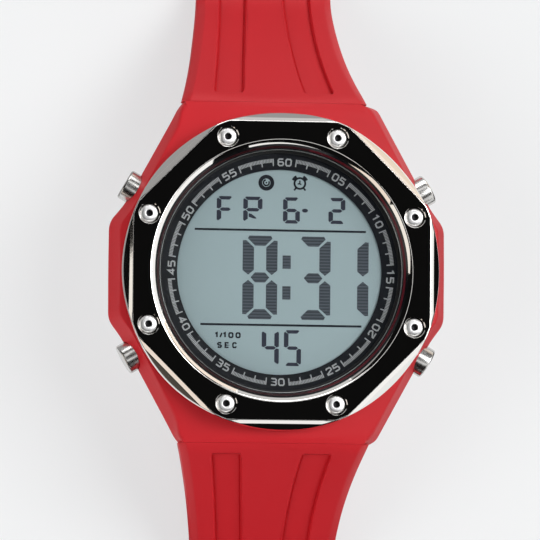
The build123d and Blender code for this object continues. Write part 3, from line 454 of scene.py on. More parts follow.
display_hatch = finish_of(
    "display_hatch", (0.086, 0.101, 0.122), (0.455, 0.0), (0.4, 0.45), 0.50, hatch_group,
    Specular_IOR_Level=0.1,
)
ring_black = finish_of(
    "ring_black", (0.006, 0.007, 0.010), (0.1, 0.05), (0.5, 0.6), 0.9,
    Specular_IOR_Level=0.12,
)
ring_print = finish_of("ring_print", (0.40, 0.41, 0.42), (0.15, 0.05), (0.45, 0.55))
pale_plastic = finish_of("pale_plastic", (0.75, 0.76, 0.74), (0.5, 0.05), (0.3, 0.4))

# Glass that lets plain light and shadows straight through
crystal_glass = bpy.data.materials.new("crystal_glass")
tree = node_tree(crystal_glass)
rays = add_node(tree, "ShaderNodeLightPath").outputs
shader = add_node(tree, "ShaderNodeBsdfPrincipled")
shader.inputs["Base Color"].default_value = (0.97, 0.985, 0.98, 1)
shader.inputs["Roughness"].default_value = 0.0
shader.inputs["IOR"].default_value = 1.45
shader.inputs["Transmission Weight"].default_value = 1.0
clear = colored(tree, "ShaderNodeBsdfTransparent", (0.95, 0.96, 0.96))
passing = larger(tree, rays["Is Shadow Ray"], rays["Is Diffuse Ray"])
tree.links.new(
    mixed(tree, passing, shader.outputs[0], clear),
    add_node(tree, "ShaderNodeOutputMaterial").inputs[0],
)

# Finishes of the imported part's nodes, by the record's material slots
node_finishes = {
    "red_resin": red_resin,
    "red_strap": red_strap,
    "dark_mirror": dark_mirror,
    "bright_steel": bright_steel,
    "satin_steel": satin_steel,
    "mineral_glass": crystal_glass,
    "black_rubber": black_rubber,
    "grey_rubber": grey_rubber,
    "black_resin": black_resin,
    "display_film": display_film,
    "display_glass": pale_plastic,
    "mirror_film": bright_steel,
    "clear_resin": pale_plastic,
    "lamp_body": pale_plastic,
    "green_board": green_board,
    "gilt_brass": gilt_brass,
}
slot_of = {entry["node"]: entry["material_slot"] for entry in frame["record"]["subparts"]}
for node, slot_name in slot_of.items():
    for slot in nodes[node].material_slots:
        slot.material = node_finishes[slot_name]
for slot in nodes["case_back"].material_slots:
    slot.material = turned_steel


# Curves, grids and meshes; all lengths are in millimetres
def soft_lower(a, b, width):
    """The lower of two heights, eased where they are within a width of each other."""
    share = np.clip(width - np.abs(a - b), 0, None) / width
    return np.minimum(a, b) - share**2 * width / 4


def eased_ramp(u, w):
    """Nil below -w, (u + w)^2 / 4w between -w and w, and u beyond."""
    return np.where(u > w, u, (u + w).clip(0) ** 2 / (4 * w))


def eased(corners, ease, steps=5):
    """Closed runs of corners, side by side, with each corner eased by a curve of its own.

    Corner P becomes (1-s)^2 A + 2s(1-s) P + s^2 B, where A and B lie on its two sides
    at the ease from P, and never past a side's middle. The first axis holds the corners,
    and the result's second one each corner's curve."""
    p = np.asarray(corners, float)
    ease = np.broadcast_to(np.asarray(ease, float), p.shape[:-1])[..., None]
    before, after = np.roll(p, 1, 0) - p, np.roll(p, -1, 0) - p
    long_a = np.linalg.norm(before, axis=-1, keepdims=True) + 1e-9
    long_b = np.linalg.norm(after, axis=-1, keepdims=True) + 1e-9
    a = p + before / long_a * np.minimum(ease, long_a * 0.49)
    b = p + after / long_b * np.minimum(ease, long_b * 0.49)
    s = np.linspace(0, 1, steps).reshape((1, steps) + (1,) * (p.ndim - 1))
    return (1 - s) ** 2 * a[:, None] + 2 * s * (1 - s) * p[:, None] + s**2 * b[:, None]


def rounded(corners, ease, steps=5, closed=False):
    """One run of eased corners as a line; corners without an ease stay single points."""
    p = np.asarray(corners, float)
    ease = np.broadcast_to(np.asarray(ease, float), len(p)).copy()
    if not closed:
        ease[[0, -1]] = 0
    keep = np.repeat(ease > 0, steps)
    keep[::steps] = True
    return eased(p, ease, steps).reshape(-1, p.shape[1])[keep]


def outward_mesh(name, points, faces, merged):
    """A mesh from points in millimetres and faces, turned outwards.

    Where it is merged, points that meet become one and slivers go."""
    mesh = bpy.data.meshes.new(name)
    mesh.from_pydata((np.asarray(points) * MM).tolist(), [], faces)
    shape = bmesh.new()
    shape.from_mesh(mesh)
    if merged:
        bmesh.ops.remove_doubles(shape, verts=shape.verts, dist=1e-6)
        bmesh.ops.dissolve_degenerate(shape, edges=shape.edges, dist=1e-7)
    bmesh.ops.recalc_face_normals(shape, faces=shape.faces)
    shape.to_mesh(mesh)
    shape.free()
    return mesh


def shade(mesh, sharp):
    """Smooth shading, with edges sharp that turn by more than an angle in degrees."""
    mesh.shade_smooth()
    mesh.set_sharp_from_angle(angle=radians(sharp))


def mesh_piece(name, points, faces, body, finish, replaces=(), sharp=40):
    """A piece of the watch from points in millimetres and faces, that rides a body."""
    mesh = outward_mesh(name, points, faces, merged=True)
    shade(mesh, sharp)
    mesh.materials.append(finish)
    piece = linked(name, mesh)
    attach(piece, body)
    if replaces:
        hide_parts(*replaces)
    return piece


def grid_faces(points, loop_u=False, loop_v=False, caps=False):
    """Points and faces of a grid, rows by columns.

    Quads join each point to the next in both ways, a loop joins the last to the first,
    and where asked a cap closes the first row."""
    rows, columns = points.shape[:2]
    index = np.arange(rows * columns).reshape(rows, columns)
    wide = np.vstack([index, index[:1]]) if loop_u else index
    wide = np.hstack([wide, wide[:, :1]]) if loop_v else wide
    quads = np.stack([wide[:-1, :-1], wide[1:, :-1], wide[1:, 1:], wide[:-1, 1:]], -1)
    faces = quads.reshape(-1, 4).tolist()
    if caps:
        faces.append(index[0].tolist())
    return points.reshape(-1, 3), faces


def surface(
    name, points, body, finish, replaces=(), loop_u=False, loop_v=False, sharp=40
):
    """A piece whose mesh is a grid of points, rows by columns, in millimetres."""
    faces_of = grid_faces(np.asarray(points, float), loop_u, loop_v)
    return mesh_piece(name, *faces_of, body, finish, replaces, sharp)


def turned(profile, steps, foot=(0, 0, 0), axis=(0, 0, 1)):
    """A grid made by turning a profile of radius and height about an axis from a foot.

    Point = foot + radius (cos t side + sin t other) + height axis, with t even."""
    profile = np.asarray(profile, float)
    along = np.array(Vector(axis).normalized())
    side = np.array(Vector(axis).orthogonal().normalized())
    other = np.cross(along, side)
    t = np.linspace(0, 2 * pi, steps, endpoint=False)[:, None, None]
    ring = np.cos(t) * side + np.sin(t) * other
    return np.array(foot) + profile[None, :, :1] * ring + profile[None, :, 1:] * along


def arc(centre, radius, start, end, steps=24):
    """Points on an arc between two angles in degrees."""
    t = np.radians(np.linspace(start, end, steps))
    return np.stack([centre[0] + radius * np.cos(t), centre[1] + radius * np.sin(t)], -1)


def slab(outline, low, high, ease, axis="x", steps=5):
    """A plate of a closed outline between two levels, its rims rolled over by the ease.

    Each rim's rings are the outline drawn in by ease (1 - sin a), at ease (1 - cos a)
    from its level, with a from nil to a quarter turn. The levels lie along the axis."""
    p = np.asarray(outline, float)
    after = np.roll(p, -1, 0)
    run = after - np.roll(p, 1, 0)
    inward = np.stack([-run[:, 1], run[:, 0]], -1)
    inward /= np.linalg.norm(inward, axis=1, keepdims=True)
    turn = np.sign((p[:, 0] * after[:, 1] - p[:, 1] * after[:, 0]).sum())
    a = np.linspace(0, pi / 2, steps)
    inset = ease * (1 - np.sin(a))
    rise = ease * (1 - np.cos(a))
    insets = np.concatenate([inset, inset[::-1]])
    levels = np.concatenate([low + rise, high - rise[::-1]])
    flat = p[None] + turn * insets[:, None, None] * inward[None]
    height = np.broadcast_to(levels[:, None, None], flat.shape[:2] + (1,))
    order = {"z": [0, 1, 2], "x": [2, 0, 1], "y": [0, 2, 1]}[axis]
    points = np.concatenate([flat, height], -1)[..., order]
    index = np.arange(points.shape[0] * len(p)).reshape(-1, len(p))
    wrap = np.hstack([index, index[:, :1]])
    quads = np.stack([wrap[:-1, :-1], wrap[:-1, 1:], wrap[1:, 1:], wrap[1:, :-1]], -1)
    ends = [index[0, ::-1].tolist(), index[-1].tolist()]
    faces = quads.reshape(-1, 4).tolist() + ends
    return points.reshape(-1, 3), faces


def finish_within(piece, finish, places, near, far, low=-99, high=99, right_of=-99):
    """Gives a finish to the faces whose middles lie between two radii of any place.

    They also lie between two heights, and to the right of a line where asked."""
    middles = np.empty(len(piece.data.polygons) * 3)
    piece.data.polygons.foreach_get("center", middles)
    middles = middles.reshape(-1, 3) / MM
    apart = np.linalg.norm(middles[:, None, :2] - np.asarray(places, float)[None], axis=2)
    inside = ((apart > near) & (apart < far)).any(1)
    inside &= (middles[:, 2] > low) & (middles[:, 2] < high) & (middles[:, 0] > right_of)
    index = np.empty(len(inside), np.int32)
    piece.data.polygons.foreach_get("material_index", index)
    piece.data.materials.append(finish)
    index[inside] = len(piece.data.materials) - 1
    piece.data.polygons.foreach_set("material_index", index)


def cut(piece, cutter_points, cutter_faces, sharp=None):
    """Takes a closed shape, given in millimetres, out of a piece.

    Where an angle is given, the piece is shaded again with edges sharp beyond it."""
    mesh = outward_mesh("cutter", cutter_points, cutter_faces, merged=False)
    cutter = linked("cutter", mesh)
    modifier = piece.modifiers.new("cut", "BOOLEAN")
    modifier.operation = "DIFFERENCE"
    modifier.solver = "EXACT"
    modifier.object = cutter
    bpy.context.view_layer.update()
    graph = bpy.context.evaluated_depsgraph_get()
    result = bpy.data.meshes.new_from_object(piece.evaluated_get(graph))
    piece.modifiers.clear()
    old = piece.data
    result.name = old.name
    piece.data = result
    bpy.data.meshes.remove(old)
    bpy.data.objects.remove(cutter)
    bpy.data.meshes.remove(mesh)
    if sharp:
        shade(result, sharp)


def joined(*parts):
    """Several (points, faces) as one."""
    points, faces, start = [], [], 0
    for some, theirs in parts:
        points.append(np.asarray(some))
        faces += [[start + i for i in face] for face in theirs]
        start += len(some)
    return np.vstack(points), faces


def rod_faces(start, end, axis, radius, foot):
    """A plain rod about an axis between two distances from the foot."""
    profile = [(0, start), (radius, start), (radius, end), (0, end)]
    return grid_faces(turned(profile, 48, foot, axis), loop_u=True)


def rods(places, radius, low, high, sides):
    """Points and faces of upright rods: one ring low and one high at each place."""
    t = np.linspace(0, 2 * pi, sides, endpoint=False)
    ring = radius * np.stack([np.cos(t), np.sin(t)], -1)
    centres = np.asarray(places, float)[:, None, None, :]
    flat = np.broadcast_to(centres + ring, (len(places), 2, sides, 2))
    levels = np.array([low, high])[:, None, None]
    height = np.broadcast_to(levels, (len(places), 2, sides, 1))
    points = np.concatenate([flat, height], -1).reshape(-1, 3)
    index = np.arange(len(points)).reshape(-1, 2, sides)
    near, far = index[:, 0], index[:, 1]
    walls = np.stack([near, np.roll(near, -1, 1), np.roll(far, -1, 1), far], -1)
    faces = walls.reshape(-1, 4).tolist() + near[:, ::-1].tolist() + far.tolist()
    return points, faces


# Bezel: an octagon's flat top whose edges fall off to a round brim
screw_angles = np.radians(22.5 + 45 * np.arange(8))
screw_places = np.stack(
    [SCREW_CIRCLE * np.cos(screw_angles), SCREW_CIRCLE * np.sin(screw_angles)], -1
)
FLAT_START, BRIM, BRIM_DROP = 19.9, 23.22, 0.15
FACET_FALL, FACET_FALL_BEYOND, FACET_BEND = 0.833, 0.257, 0.6
LEAST_APART = 0.012


def bezel_grid():
    """Rings from the glass outwards, each a full turn.

    The inner rings follow a turned profile: lip, slope and bevel. The next ones run
    side by side with the octagon's edges, at r = (flat + d) / cos(t - nearest flat), and
    close up inside the brim at its corners. With d the distance beyond the nearest edge,
    the height is top - 0.833 R(d, 0.04) - 0.257 R(d - 0.6, 0.15), where R is the eased
    ramp. The last rings roll over into the wall."""
    t = np.linspace(0, 2 * pi, 720, endpoint=False)[:, None]
    from_flat = (t + pi / 8) % (pi / 4) - pi / 8
    inner = rounded(
        [(GLASS_RADIUS, 10.55), (GLASS_RADIUS, 12.24), (17.80, 12.24), (17.80, 12.65),
         (18.10, 12.97), (18.30, 13.18), (18.58, 13.45), (19.20, BEZEL_TOP),
         (FLAT_START, BEZEL_TOP)],
        [0, 0, 0.08, 0.1, 0.05, 0.05, 0.08, 0.16, 0], 5)
    r_in, z_in = (np.broadcast_to(part, (len(t), len(inner))) for part in inner.T)
    beside = np.concatenate([np.linspace(-0.05, 0.05, 7), np.linspace(0.1, 0.9, 18)])
    last = BRIM - 0.1 - LEAST_APART * np.arange(len(beside))[::-1]
    r_edge = np.minimum((BEZEL_FLAT + beside) / np.cos(from_flat), last)
    share = np.linspace(0, 1, 12)[1:]
    r_face = r_edge[:, -1:] + share * (BRIM - r_edge[:, -1:])
    share = np.linspace(0, 1, 6)[1:-1]
    r_flat = FLAT_START + share * (r_edge[:, :1] - FLAT_START)
    roll = np.linspace(0, pi / 2, 7)[1:]
    r_roll = np.broadcast_to(BRIM + (BEZEL_RADIUS - BRIM) * np.sin(roll), (len(t), 6))
    r_out = np.hstack([r_flat, r_edge, r_face, r_roll])
    beyond = r_out * np.cos(from_flat) - BEZEL_FLAT
    z_out = (
        BEZEL_TOP
        - FACET_FALL * eased_ramp(beyond, 0.04)
        - FACET_FALL_BEYOND * eased_ramp(beyond - FACET_BEND, 0.15)
    )
    z_out[:, -6:] -= BRIM_DROP * (1 - np.cos(roll))
    wall = np.array([[BEZEL_RADIUS, 10.9], [BEZEL_RADIUS - 0.05, 10.55], [22.9, 10.52]])
    r_wall, z_wall = (np.broadcast_to(part, (len(t), 3)) for part in wall.T)
    r = np.hstack([r_in, r_out, r_wall])
    z = np.hstack([z_in, z_out, z_wall])
    return np.stack([r * np.cos(t), r * np.sin(t), z], -1)


bezel = surface(
    "bezel_ring", bezel_grid(), "case", dark_mirror, ["bezel"], loop_u=True, loop_v=True,
    sharp=50,
)
recess = [
    (0, HEAD_SEAT), (1.5, HEAD_SEAT), (1.5, 13.9), (1.64, 14.04), (1.64, 16), (0, 16),
]
recesses = [turned(recess, 48, (*place, 0)) for place in screw_places]
cut(bezel, *joined(*[grid_faces(grid, loop_u=True) for grid in recesses]))
# The bevel's foot is satin; the step inside it is black, and a dark red line on its
# right half is a painted reflection of the red case
finish_within(bezel, satin_steel, [(0, 0)], 17.70, 17.92, low=12.3)
finish_within(bezel, gloss_black, [(0, 0)], 17.92, 18.66)
finish_within(bezel, step_black, [(0, 0)], 18.04, 18.34)
finish_within(bezel, painted_red_reflection, [(0, 0)], 18.04, 18.42, right_of=4.0)


# Bezel screws: a turned head with a dished rim and a small deep socket, and its shank
screw_profile = rounded(
    [(0, 13.0), (0.40, 13.0), (0.44, 13.74), (0.54, 13.86), (0.86, 13.82), (1.16, 13.70),
     (1.3, 13.52), (1.3, 12.92), (0.72, 12.92), (0.72, 8.2), (0, 8.2)],
    [0, 0.05, 0.04, 0.08, 0.2, 0.1, 0.1, 0, 0, 0.05, 0], 5)
screws = [turned(screw_profile, 48, (*place, 0)) for place in screw_places]
screw_heads = mesh_piece(
    "bezel_screw_heads", *joined(*[grid_faces(screw, loop_u=True) for screw in screws]),
    "case", screw_steel, ["bezel_screws"], 35,
)
# The sockets' faces get the painted shade
finish_within(screw_heads, painted_socket_shade, screw_places, -1, 0.50, high=13.80)


# Display: dark strokes laid on the front polariser, all turned a little together
PRINT_LIFT, PRINT_THICKNESS, DISPLAY_TURN = 0.012, 0.008, radians(-0.15)


def printed(name, patches, height, finish, body="case"):
    """Thin raised print: flat outlines or quad strips laid over a surface of the dial.

    Each patch is (points, faces); faces wound clockwise are turned over. The surface's
    height is a function of the distance from the dial's middle."""
    points, faces, start = [], [], 0
    for flat, quads in patches:
        flat = np.asarray(flat, float)
        for face in quads:
            corner = flat[list(face)]
            after = np.roll(corner, -1, 0)
            area = (corner[:, 0] * after[:, 1] - corner[:, 1] * after[:, 0]).sum()
            order = list(face) if area > 0 else list(face)[::-1]
            faces.append([start + int(i) for i in order])
        points.append(flat)
        start += len(flat)
    points = np.vstack(points)
    lift = height(np.hypot(points[:, 0], points[:, 1])) + PRINT_LIFT
    mesh = bpy.data.meshes.new(name)
    mesh.from_pydata((np.column_stack([points, lift]) * MM).tolist(), [], faces)
    mesh.materials.append(finish)
    piece = linked(name, mesh)
    wall = piece.modifiers.new("ink", "SOLIDIFY")
    wall.thickness = PRINT_THICKNESS * MM
    wall.offset = -1
    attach(piece, body)


def whole(outline):
    """One outline as a single face."""
    return np.asarray(outline, float), [range(len(outline))]


def stroke(path, width, closed=False):
    """A line of a width: each point moves to both sides along the mitre of its runs."""
    p = np.asarray(path, float)
    run = np.roll(p, -1, 0) - p
    run /= np.linalg.norm(run, axis=1, keepdims=True) + 1e-12
    back = np.roll(run, 1, 0)
    if not closed:
        run[-1] = run[-2]
        back[0] = run[0]
    side = np.stack([-(run + back)[:, 1], (run + back)[:, 0]], -1)
    side /= np.linalg.norm(side, axis=1, keepdims=True)
    along = np.stack([-run[:, 1], run[:, 0]], -1)
    reach = width / 2 / np.clip((side * along).sum(1, keepdims=True), 0.4, None)
    points = np.vstack([p + side * reach, p - side * reach])
    n = len(p)
    i = np.arange(n if closed else n - 1)
    j = (i + 1) % n
    return points, np.stack([i, j, j + n, i + n], -1).tolist()


def mirrored(top, side, middle):
    """The seven strokes of a digit from its top, upper left and middle ones."""
    top, side, middle = (np.array(part, float) for part in (top, side, middle))
    return {
        "top": top, "upper_left": side, "upper_right": side * (-1, 1),
        "lower_left": side * (1, -1), "lower_right": side * (-1, -1),
        "bottom": top * (1, -1), "middle": middle,
    }


large_strokes = mirrored(
    [(-1.82, 5.74), (-1.60, 6.15), (1.60, 6.15), (1.82, 5.74), (0.755, 4.67),
     (-0.755, 4.67)],
    [(-2.575, 5.42), (-2.055, 5.46), (-0.905, 4.43), (-0.905, 1.09), (-1.74, 0.377),
     (-2.575, 1.05)],
    [(-1.39, 0), (-0.735, 0.74), (0.735, 0.74), (1.39, 0), (0.735, -0.74),
     (-0.735, -0.74)],
)


def small_strokes(width, height, thick=0.68, thin=0.50, gap=0.07, corner=0.42):
    """Strokes of a small digit: bars that meet in mitres with a gap and cut corners."""
    x, y, c = width / 2, height / 2, corner
    return mirrored(
        [(-x + c / 2 + gap, y - c / 2 + gap), (-x + c, y), (x - c, y),
         (x - c / 2 - gap, y - c / 2 + gap), (x - thick + gap, y - thin),
         (-x + thick - gap, y - thin)],
        [(-x, y - c), (-x + c / 2 - gap / 2, y - c / 2 - gap / 2),
         (-x + thick, y - thin - gap), (-x + thick, thin / 2 + gap),
         (-x + thick / 2, gap), (-x, gap + 0.12)],
        [(-x + thick / 2 + gap, 0), (-x + thick + gap, thin / 2),
         (x - thick - gap, thin / 2), (x - thick / 2 - gap, 0),
         (x - thick - gap, -thin / 2), (-x + thick + gap, -thin / 2)],
    )


LEFT = ["upper_left", "lower_left"]
RIGHT = ["upper_right", "lower_right"]
digit_parts = {
    "8": ["top", "middle", "bottom", *LEFT, *RIGHT],
    "3": ["top", "middle", "bottom", *RIGHT],
    "1": RIGHT,
    "F": ["top", "middle", *LEFT],
    "R": ["top", "middle", "upper_right", *LEFT],
    "6": ["top", "middle", "bottom", "lower_right", *LEFT],
    "2": ["top", "middle", "bottom", "upper_right", "lower_left"],
    "4": ["middle", "upper_left", *RIGHT],
    "5": ["top", "middle", "bottom", "upper_left", "lower_right"],
}


def digit(sign, centre, strokes):
    """A digit's strokes, moved to its centre."""
    return [whole(strokes[part] + np.array(centre)) for part in digit_parts[sign]]


def box_at(x, y, width, height):
    """A bar about its middle."""
    w, h = width / 2, height / 2
    return whole([(x - w, y - h), (x + w, y - h), (x + w, y + h), (x - w, y + h)])


large_figures = [
    *digit("8", (-2.86, -0.80), large_strokes),
    *digit("3", (5.02, -0.80), large_strokes),
    *digit("1", (10.66, -0.80), large_strokes),
    box_at(1.08, 1.52, 1.22, 1.95),
    box_at(1.08, -3.02, 1.22, 1.95),
]
upper_strokes, lower_strokes = small_strokes(2.5, 3.86), small_strokes(2.55, 5.28)
small_figures = [
    *digit("F", (-8.09, 9.17), upper_strokes),
    *digit("R", (-4.00, 9.17), small_strokes(2.84, 3.86)),
    whole([(-4.62, 8.66), (-4.15, 8.52), (-3.62, 8.12), (-3.42, 7.86), (-3.85, 7.86),
           (-4.62, 8.12)]),
    *digit("6", (1.72, 9.17), upper_strokes),
    whole(arc((3.73, 9.18), 1, 0, 345) * (0.45, 0.29) + (3.73 * 0.55, 9.18 * 0.71)),
    *digit("2", (8.47, 9.22), upper_strokes),
    *digit("4", (-1.23, -11.14), lower_strokes),
    *digit("5", (2.05, -11.14), lower_strokes),
]
rules = [box_at(0.12, 6.18, 25.36, 0.31), box_at(0.33, -7.80, 23.83, 0.31)]
lamp_sign = (-2.04, 13.20)
clock_sign = (2.93, 13.18)
signs = [
    stroke(arc(lamp_sign, 0.90, 0, 345), 0.56, True),
    stroke(arc(lamp_sign, 0.42, 100, 390), 0.24),
    whole(arc(lamp_sign, 0.13, 0, 345)),
    stroke(arc(clock_sign, 0.80, 0, 345), 0.29, True),
    stroke(arc(clock_sign, 1.09, 24, 64, 8), 0.46),
    stroke(arc(clock_sign, 1.09, 116, 156, 8), 0.46),
    stroke([(2.44, 12.56), (2.08, 12.16)], 0.27),
    stroke([(3.42, 12.56), (3.78, 12.16)], 0.27),
    stroke([(2.93, 13.62), (2.93, 13.12), (2.60, 13.12)], 0.20),
    stroke([(2.93, 13.14), (3.16, 13.02)], 0.20),
]


# Single-line signs within a square from -1 to 1: its points, and whether it is closed
figure_lines = {
    "0": ([(-1, 0.6), (-1, -0.6), (-0.6, -1), (0.6, -1), (1, -0.6), (1, 0.6), (0.6, 1),
           (-0.6, 1)], True),
    "1": ([(-0.75, 0.62), (0.15, 1), (0.15, -1)], False),
    "2": ([(-1, 0.62), (-0.65, 1), (0.65, 1), (1, 0.65), (1, 0.2), (-1, -0.65), (-1, -1),
           (1, -1)], False),
    "3": ([(-1, 1), (0.65, 1), (1, 0.7), (1, 0.3), (0.65, 0.02), (-0.3, 0.02),
           (0.65, -0.02), (1, -0.3), (1, -0.7), (0.65, -1), (-1, -1)], False),
    "4": ([(0.45, -1), (0.45, 1), (-1, -0.45), (1.05, -0.45)], False),
    "5": ([(0.95, 1), (-0.9, 1), (-0.95, 0.15), (0.6, 0.15), (1, -0.15), (1, -0.7),
           (0.65, -1), (-1, -1)], False),
    "6": ([(0.9, 1), (-0.6, 1), (-1, 0.6), (-1, -0.6), (-0.6, -1), (0.6, -1), (1, -0.65),
           (1, -0.2), (0.6, 0.12), (-0.95, 0.12)], False),
    "/": ([(-0.5, -1), (0.5, 1)], False),
    "S": ([(1, 0.7), (0.6, 1), (-0.6, 1), (-1, 0.65), (-1, 0.35), (-0.6, 0.03),
           (0.6, -0.03), (1, -0.35), (1, -0.65), (0.6, -1), (-0.6, -1), (-1, -0.7)],
          False),
    "E": ([(0.95, 1), (-1, 1), (-1, 0), (0.7, 0), (-1, -0.02), (-1, -1), (0.95, -1)],
          False),
    "C": ([(1, 0.55), (0.6, 1), (-0.6, 1), (-1, 0.6), (-1, -0.6), (-0.6, -1), (0.6, -1),
           (1, -0.55)], False),
}


def lettered(text, places, level, half, width):
    """A word of strokes: each sign's line scaled to a half size about its place."""
    made = []
    for sign, place in zip(text, places):
        line, closed = figure_lines[sign]
        made.append(stroke(np.array(line) * half + (place, level), width, closed))
    return made


words = [
    *lettered("1/100", (-9.16, -8.52, -7.96, -7.06, -6.00), -9.37, (0.27, 0.32), 0.24),
    *lettered("SEC", (-8.72, -7.62, -6.50), -10.84, (0.25, 0.33), 0.23),
]
along, across = cos(DISPLAY_TURN), sin(DISPLAY_TURN)
for name, patches, finish in (
    ("display_large_figures", large_figures, display_hatch),
    ("display_small_figures", small_figures, display_ink),
    ("display_rules_and_signs", rules + signs + words, display_line),
):
    turned_patches = [
        (np.asarray(points) @ np.array([[along, across], [-across, along]]), faces)
        for points, faces in patches
    ]
    printed(name, turned_patches, lambda r: DISPLAY_TOP + 0 * r, finish)


# Minute ring with its figures and ticks, and the gasket about the glass
surface(
    "minute_ring_face",
    turned(rounded(
        [(15.12, MODULE_TOP), (DIAL_RADIUS, MODULE_TOP), (DIAL_RADIUS, 10.25),
         (15.25, 9.75), (15.12, 9.72)],
        [0, 0.05, 0.05, 0.1, 0], 4), 240),
    "case", ring_black, ["minute_ring"], loop_u=True, loop_v=True,
)
surface(
    "crystal_gasket_ring",
    turned(rounded(
        [(17.48, 10.28), (17.58, GASKET_SEAT), (18.38, GASKET_SEAT), (18.38, CASE_SEAT),
         (17.48, CASE_SEAT)],
        [0, 0.03, 0.03, 0.03, 0], 4), 240),
    "case", black_rubber, ["crystal_gasket"], loop_u=True, loop_v=True,
)
FIGURE_CIRCLE, FIGURE_HALF, FIGURE_LINE = 16.2, (0.38, 0.47), 0.21
TICK_START, TICK_END, TICK_WIDTH = 15.68, 16.74, 0.17
HATCH_START, HATCH_WIDTH = 16.20, 0.14
RING_TURN, RING_SHIFT = -1.5, 0.2


def ring_slope(r):
    """Height of the ring's slope at a distance from the dial's middle."""
    return np.interp(r, [15.0, 15.2, DIAL_RADIUS], [9.75, 9.75, 10.25])


def on_ring(points, minute, feet_outward=False):
    """Flat figure points bent round the ring: across goes along the arc, up goes out."""
    flip = -1 if feet_outward else 1
    angle = radians(90 + RING_TURN - 6 * minute) - flip * points[:, 0] / FIGURE_CIRCLE
    r = FIGURE_CIRCLE + flip * points[:, 1]
    return np.stack([r * np.cos(angle) + RING_SHIFT, r * np.sin(angle)], -1)


ring_marks = []
for minute in range(5, 65, 5):
    for place, sign in zip((-0.57, 0.57), f"{minute:02d}"):
        line, closed = figure_lines[sign]
        figure = np.array(line) * FIGURE_HALF + (place, 0)
        flat, faces = stroke(figure, FIGURE_LINE, closed)
        ring_marks.append((on_ring(flat, minute, 20 <= minute <= 40), faces))
    for step in np.arange(1, 4.01, 0.125):
        tick = abs(step - round(step)) < 0.01
        start, width = (TICK_START, TICK_WIDTH) if tick else (HATCH_START, HATCH_WIDTH)
        middle = (start + TICK_END) / 2 - FIGURE_CIRCLE
        flat, faces = box_at(0, middle, width, TICK_END - start)
        ring_marks.append((on_ring(flat, minute + step), faces))
printed("minute_marks", ring_marks, ring_slope, ring_print)


# Case: its outline at a level is that of the widest level with its sides drawn in
FOLD, CASE_END = 35.36, 25.13
UPPER_DRAFT, LOWER_DRAFT = tan(radians(18)), tan(radians(24))
CUT_OFF_UPPER, CUT_OFF_LOWER = 1.15, 0.5


def top_height(x, y):
    """Height of the case's and strap's top: the lower of a cone and the strap's slope.

    The cone falls at 10 degrees outside the bezel, the slope at 45 from the case's
    end, and the two are eased into each other as one soft fold."""
    cone = CASE_SEAT - tan(radians(10)) * (np.hypot(x, y) - BEZEL_RADIUS)
    return soft_lower(np.minimum(cone, CASE_SEAT), FOLD - np.abs(y), 0.9)


def case_outline(inset):
    """Outline of the case: its straight sides moved in by the inset, corners eased.

    Each corner is where two moved sides meet; the end faces stay where they are.
    Fourteen points divide each straight side."""
    quarter = np.array([(25, 0), (24.8, 7.1), (22.9, 9.7), (14.95, 24.17), (14.2, 25.1),
                        (14.2, 26.8)])
    run = np.diff(quarter, axis=0)
    out = np.stack([run[:, 1], -run[:, 0]], -1)
    out = out / np.linalg.norm(run, axis=1, keepdims=True)
    level = (out * quarter[:-1]).sum(1) - inset
    out = np.vstack([[(1, 0.0)], out, [(0, 1.0)]])
    level = np.concatenate([[25.0 - inset], level, [CASE_END]])
    pair = np.stack([out[1:-1], out[2:]], 1)
    levels = np.stack([level[1:-1], level[2:]], 1)[..., None]
    corners = np.linalg.solve(pair, levels)[..., 0]
    ease = np.array([1.1, 1.0, 0.6, 0.12, 0.3])
    corners = np.concatenate([corners, corners[::-1] * (-1, 1)])
    corners = np.concatenate([corners, -corners])
    ease = np.tile(np.concatenate([ease, ease[::-1]]), 2)
    curves = eased(corners, ease, 9)
    follow = np.roll(curves[:, 0], -1, 0)
    t = np.linspace(0, 1, 16)[1:-1, None]
    straight = curves[:, -1][:, None] + t * (follow - curves[:, -1])[:, None]
    return np.concatenate([curves, straight], 1).reshape(-1, 2)


widest = case_outline(0)
drawn_in = (case_outline(1.4) - widest) / 1.4


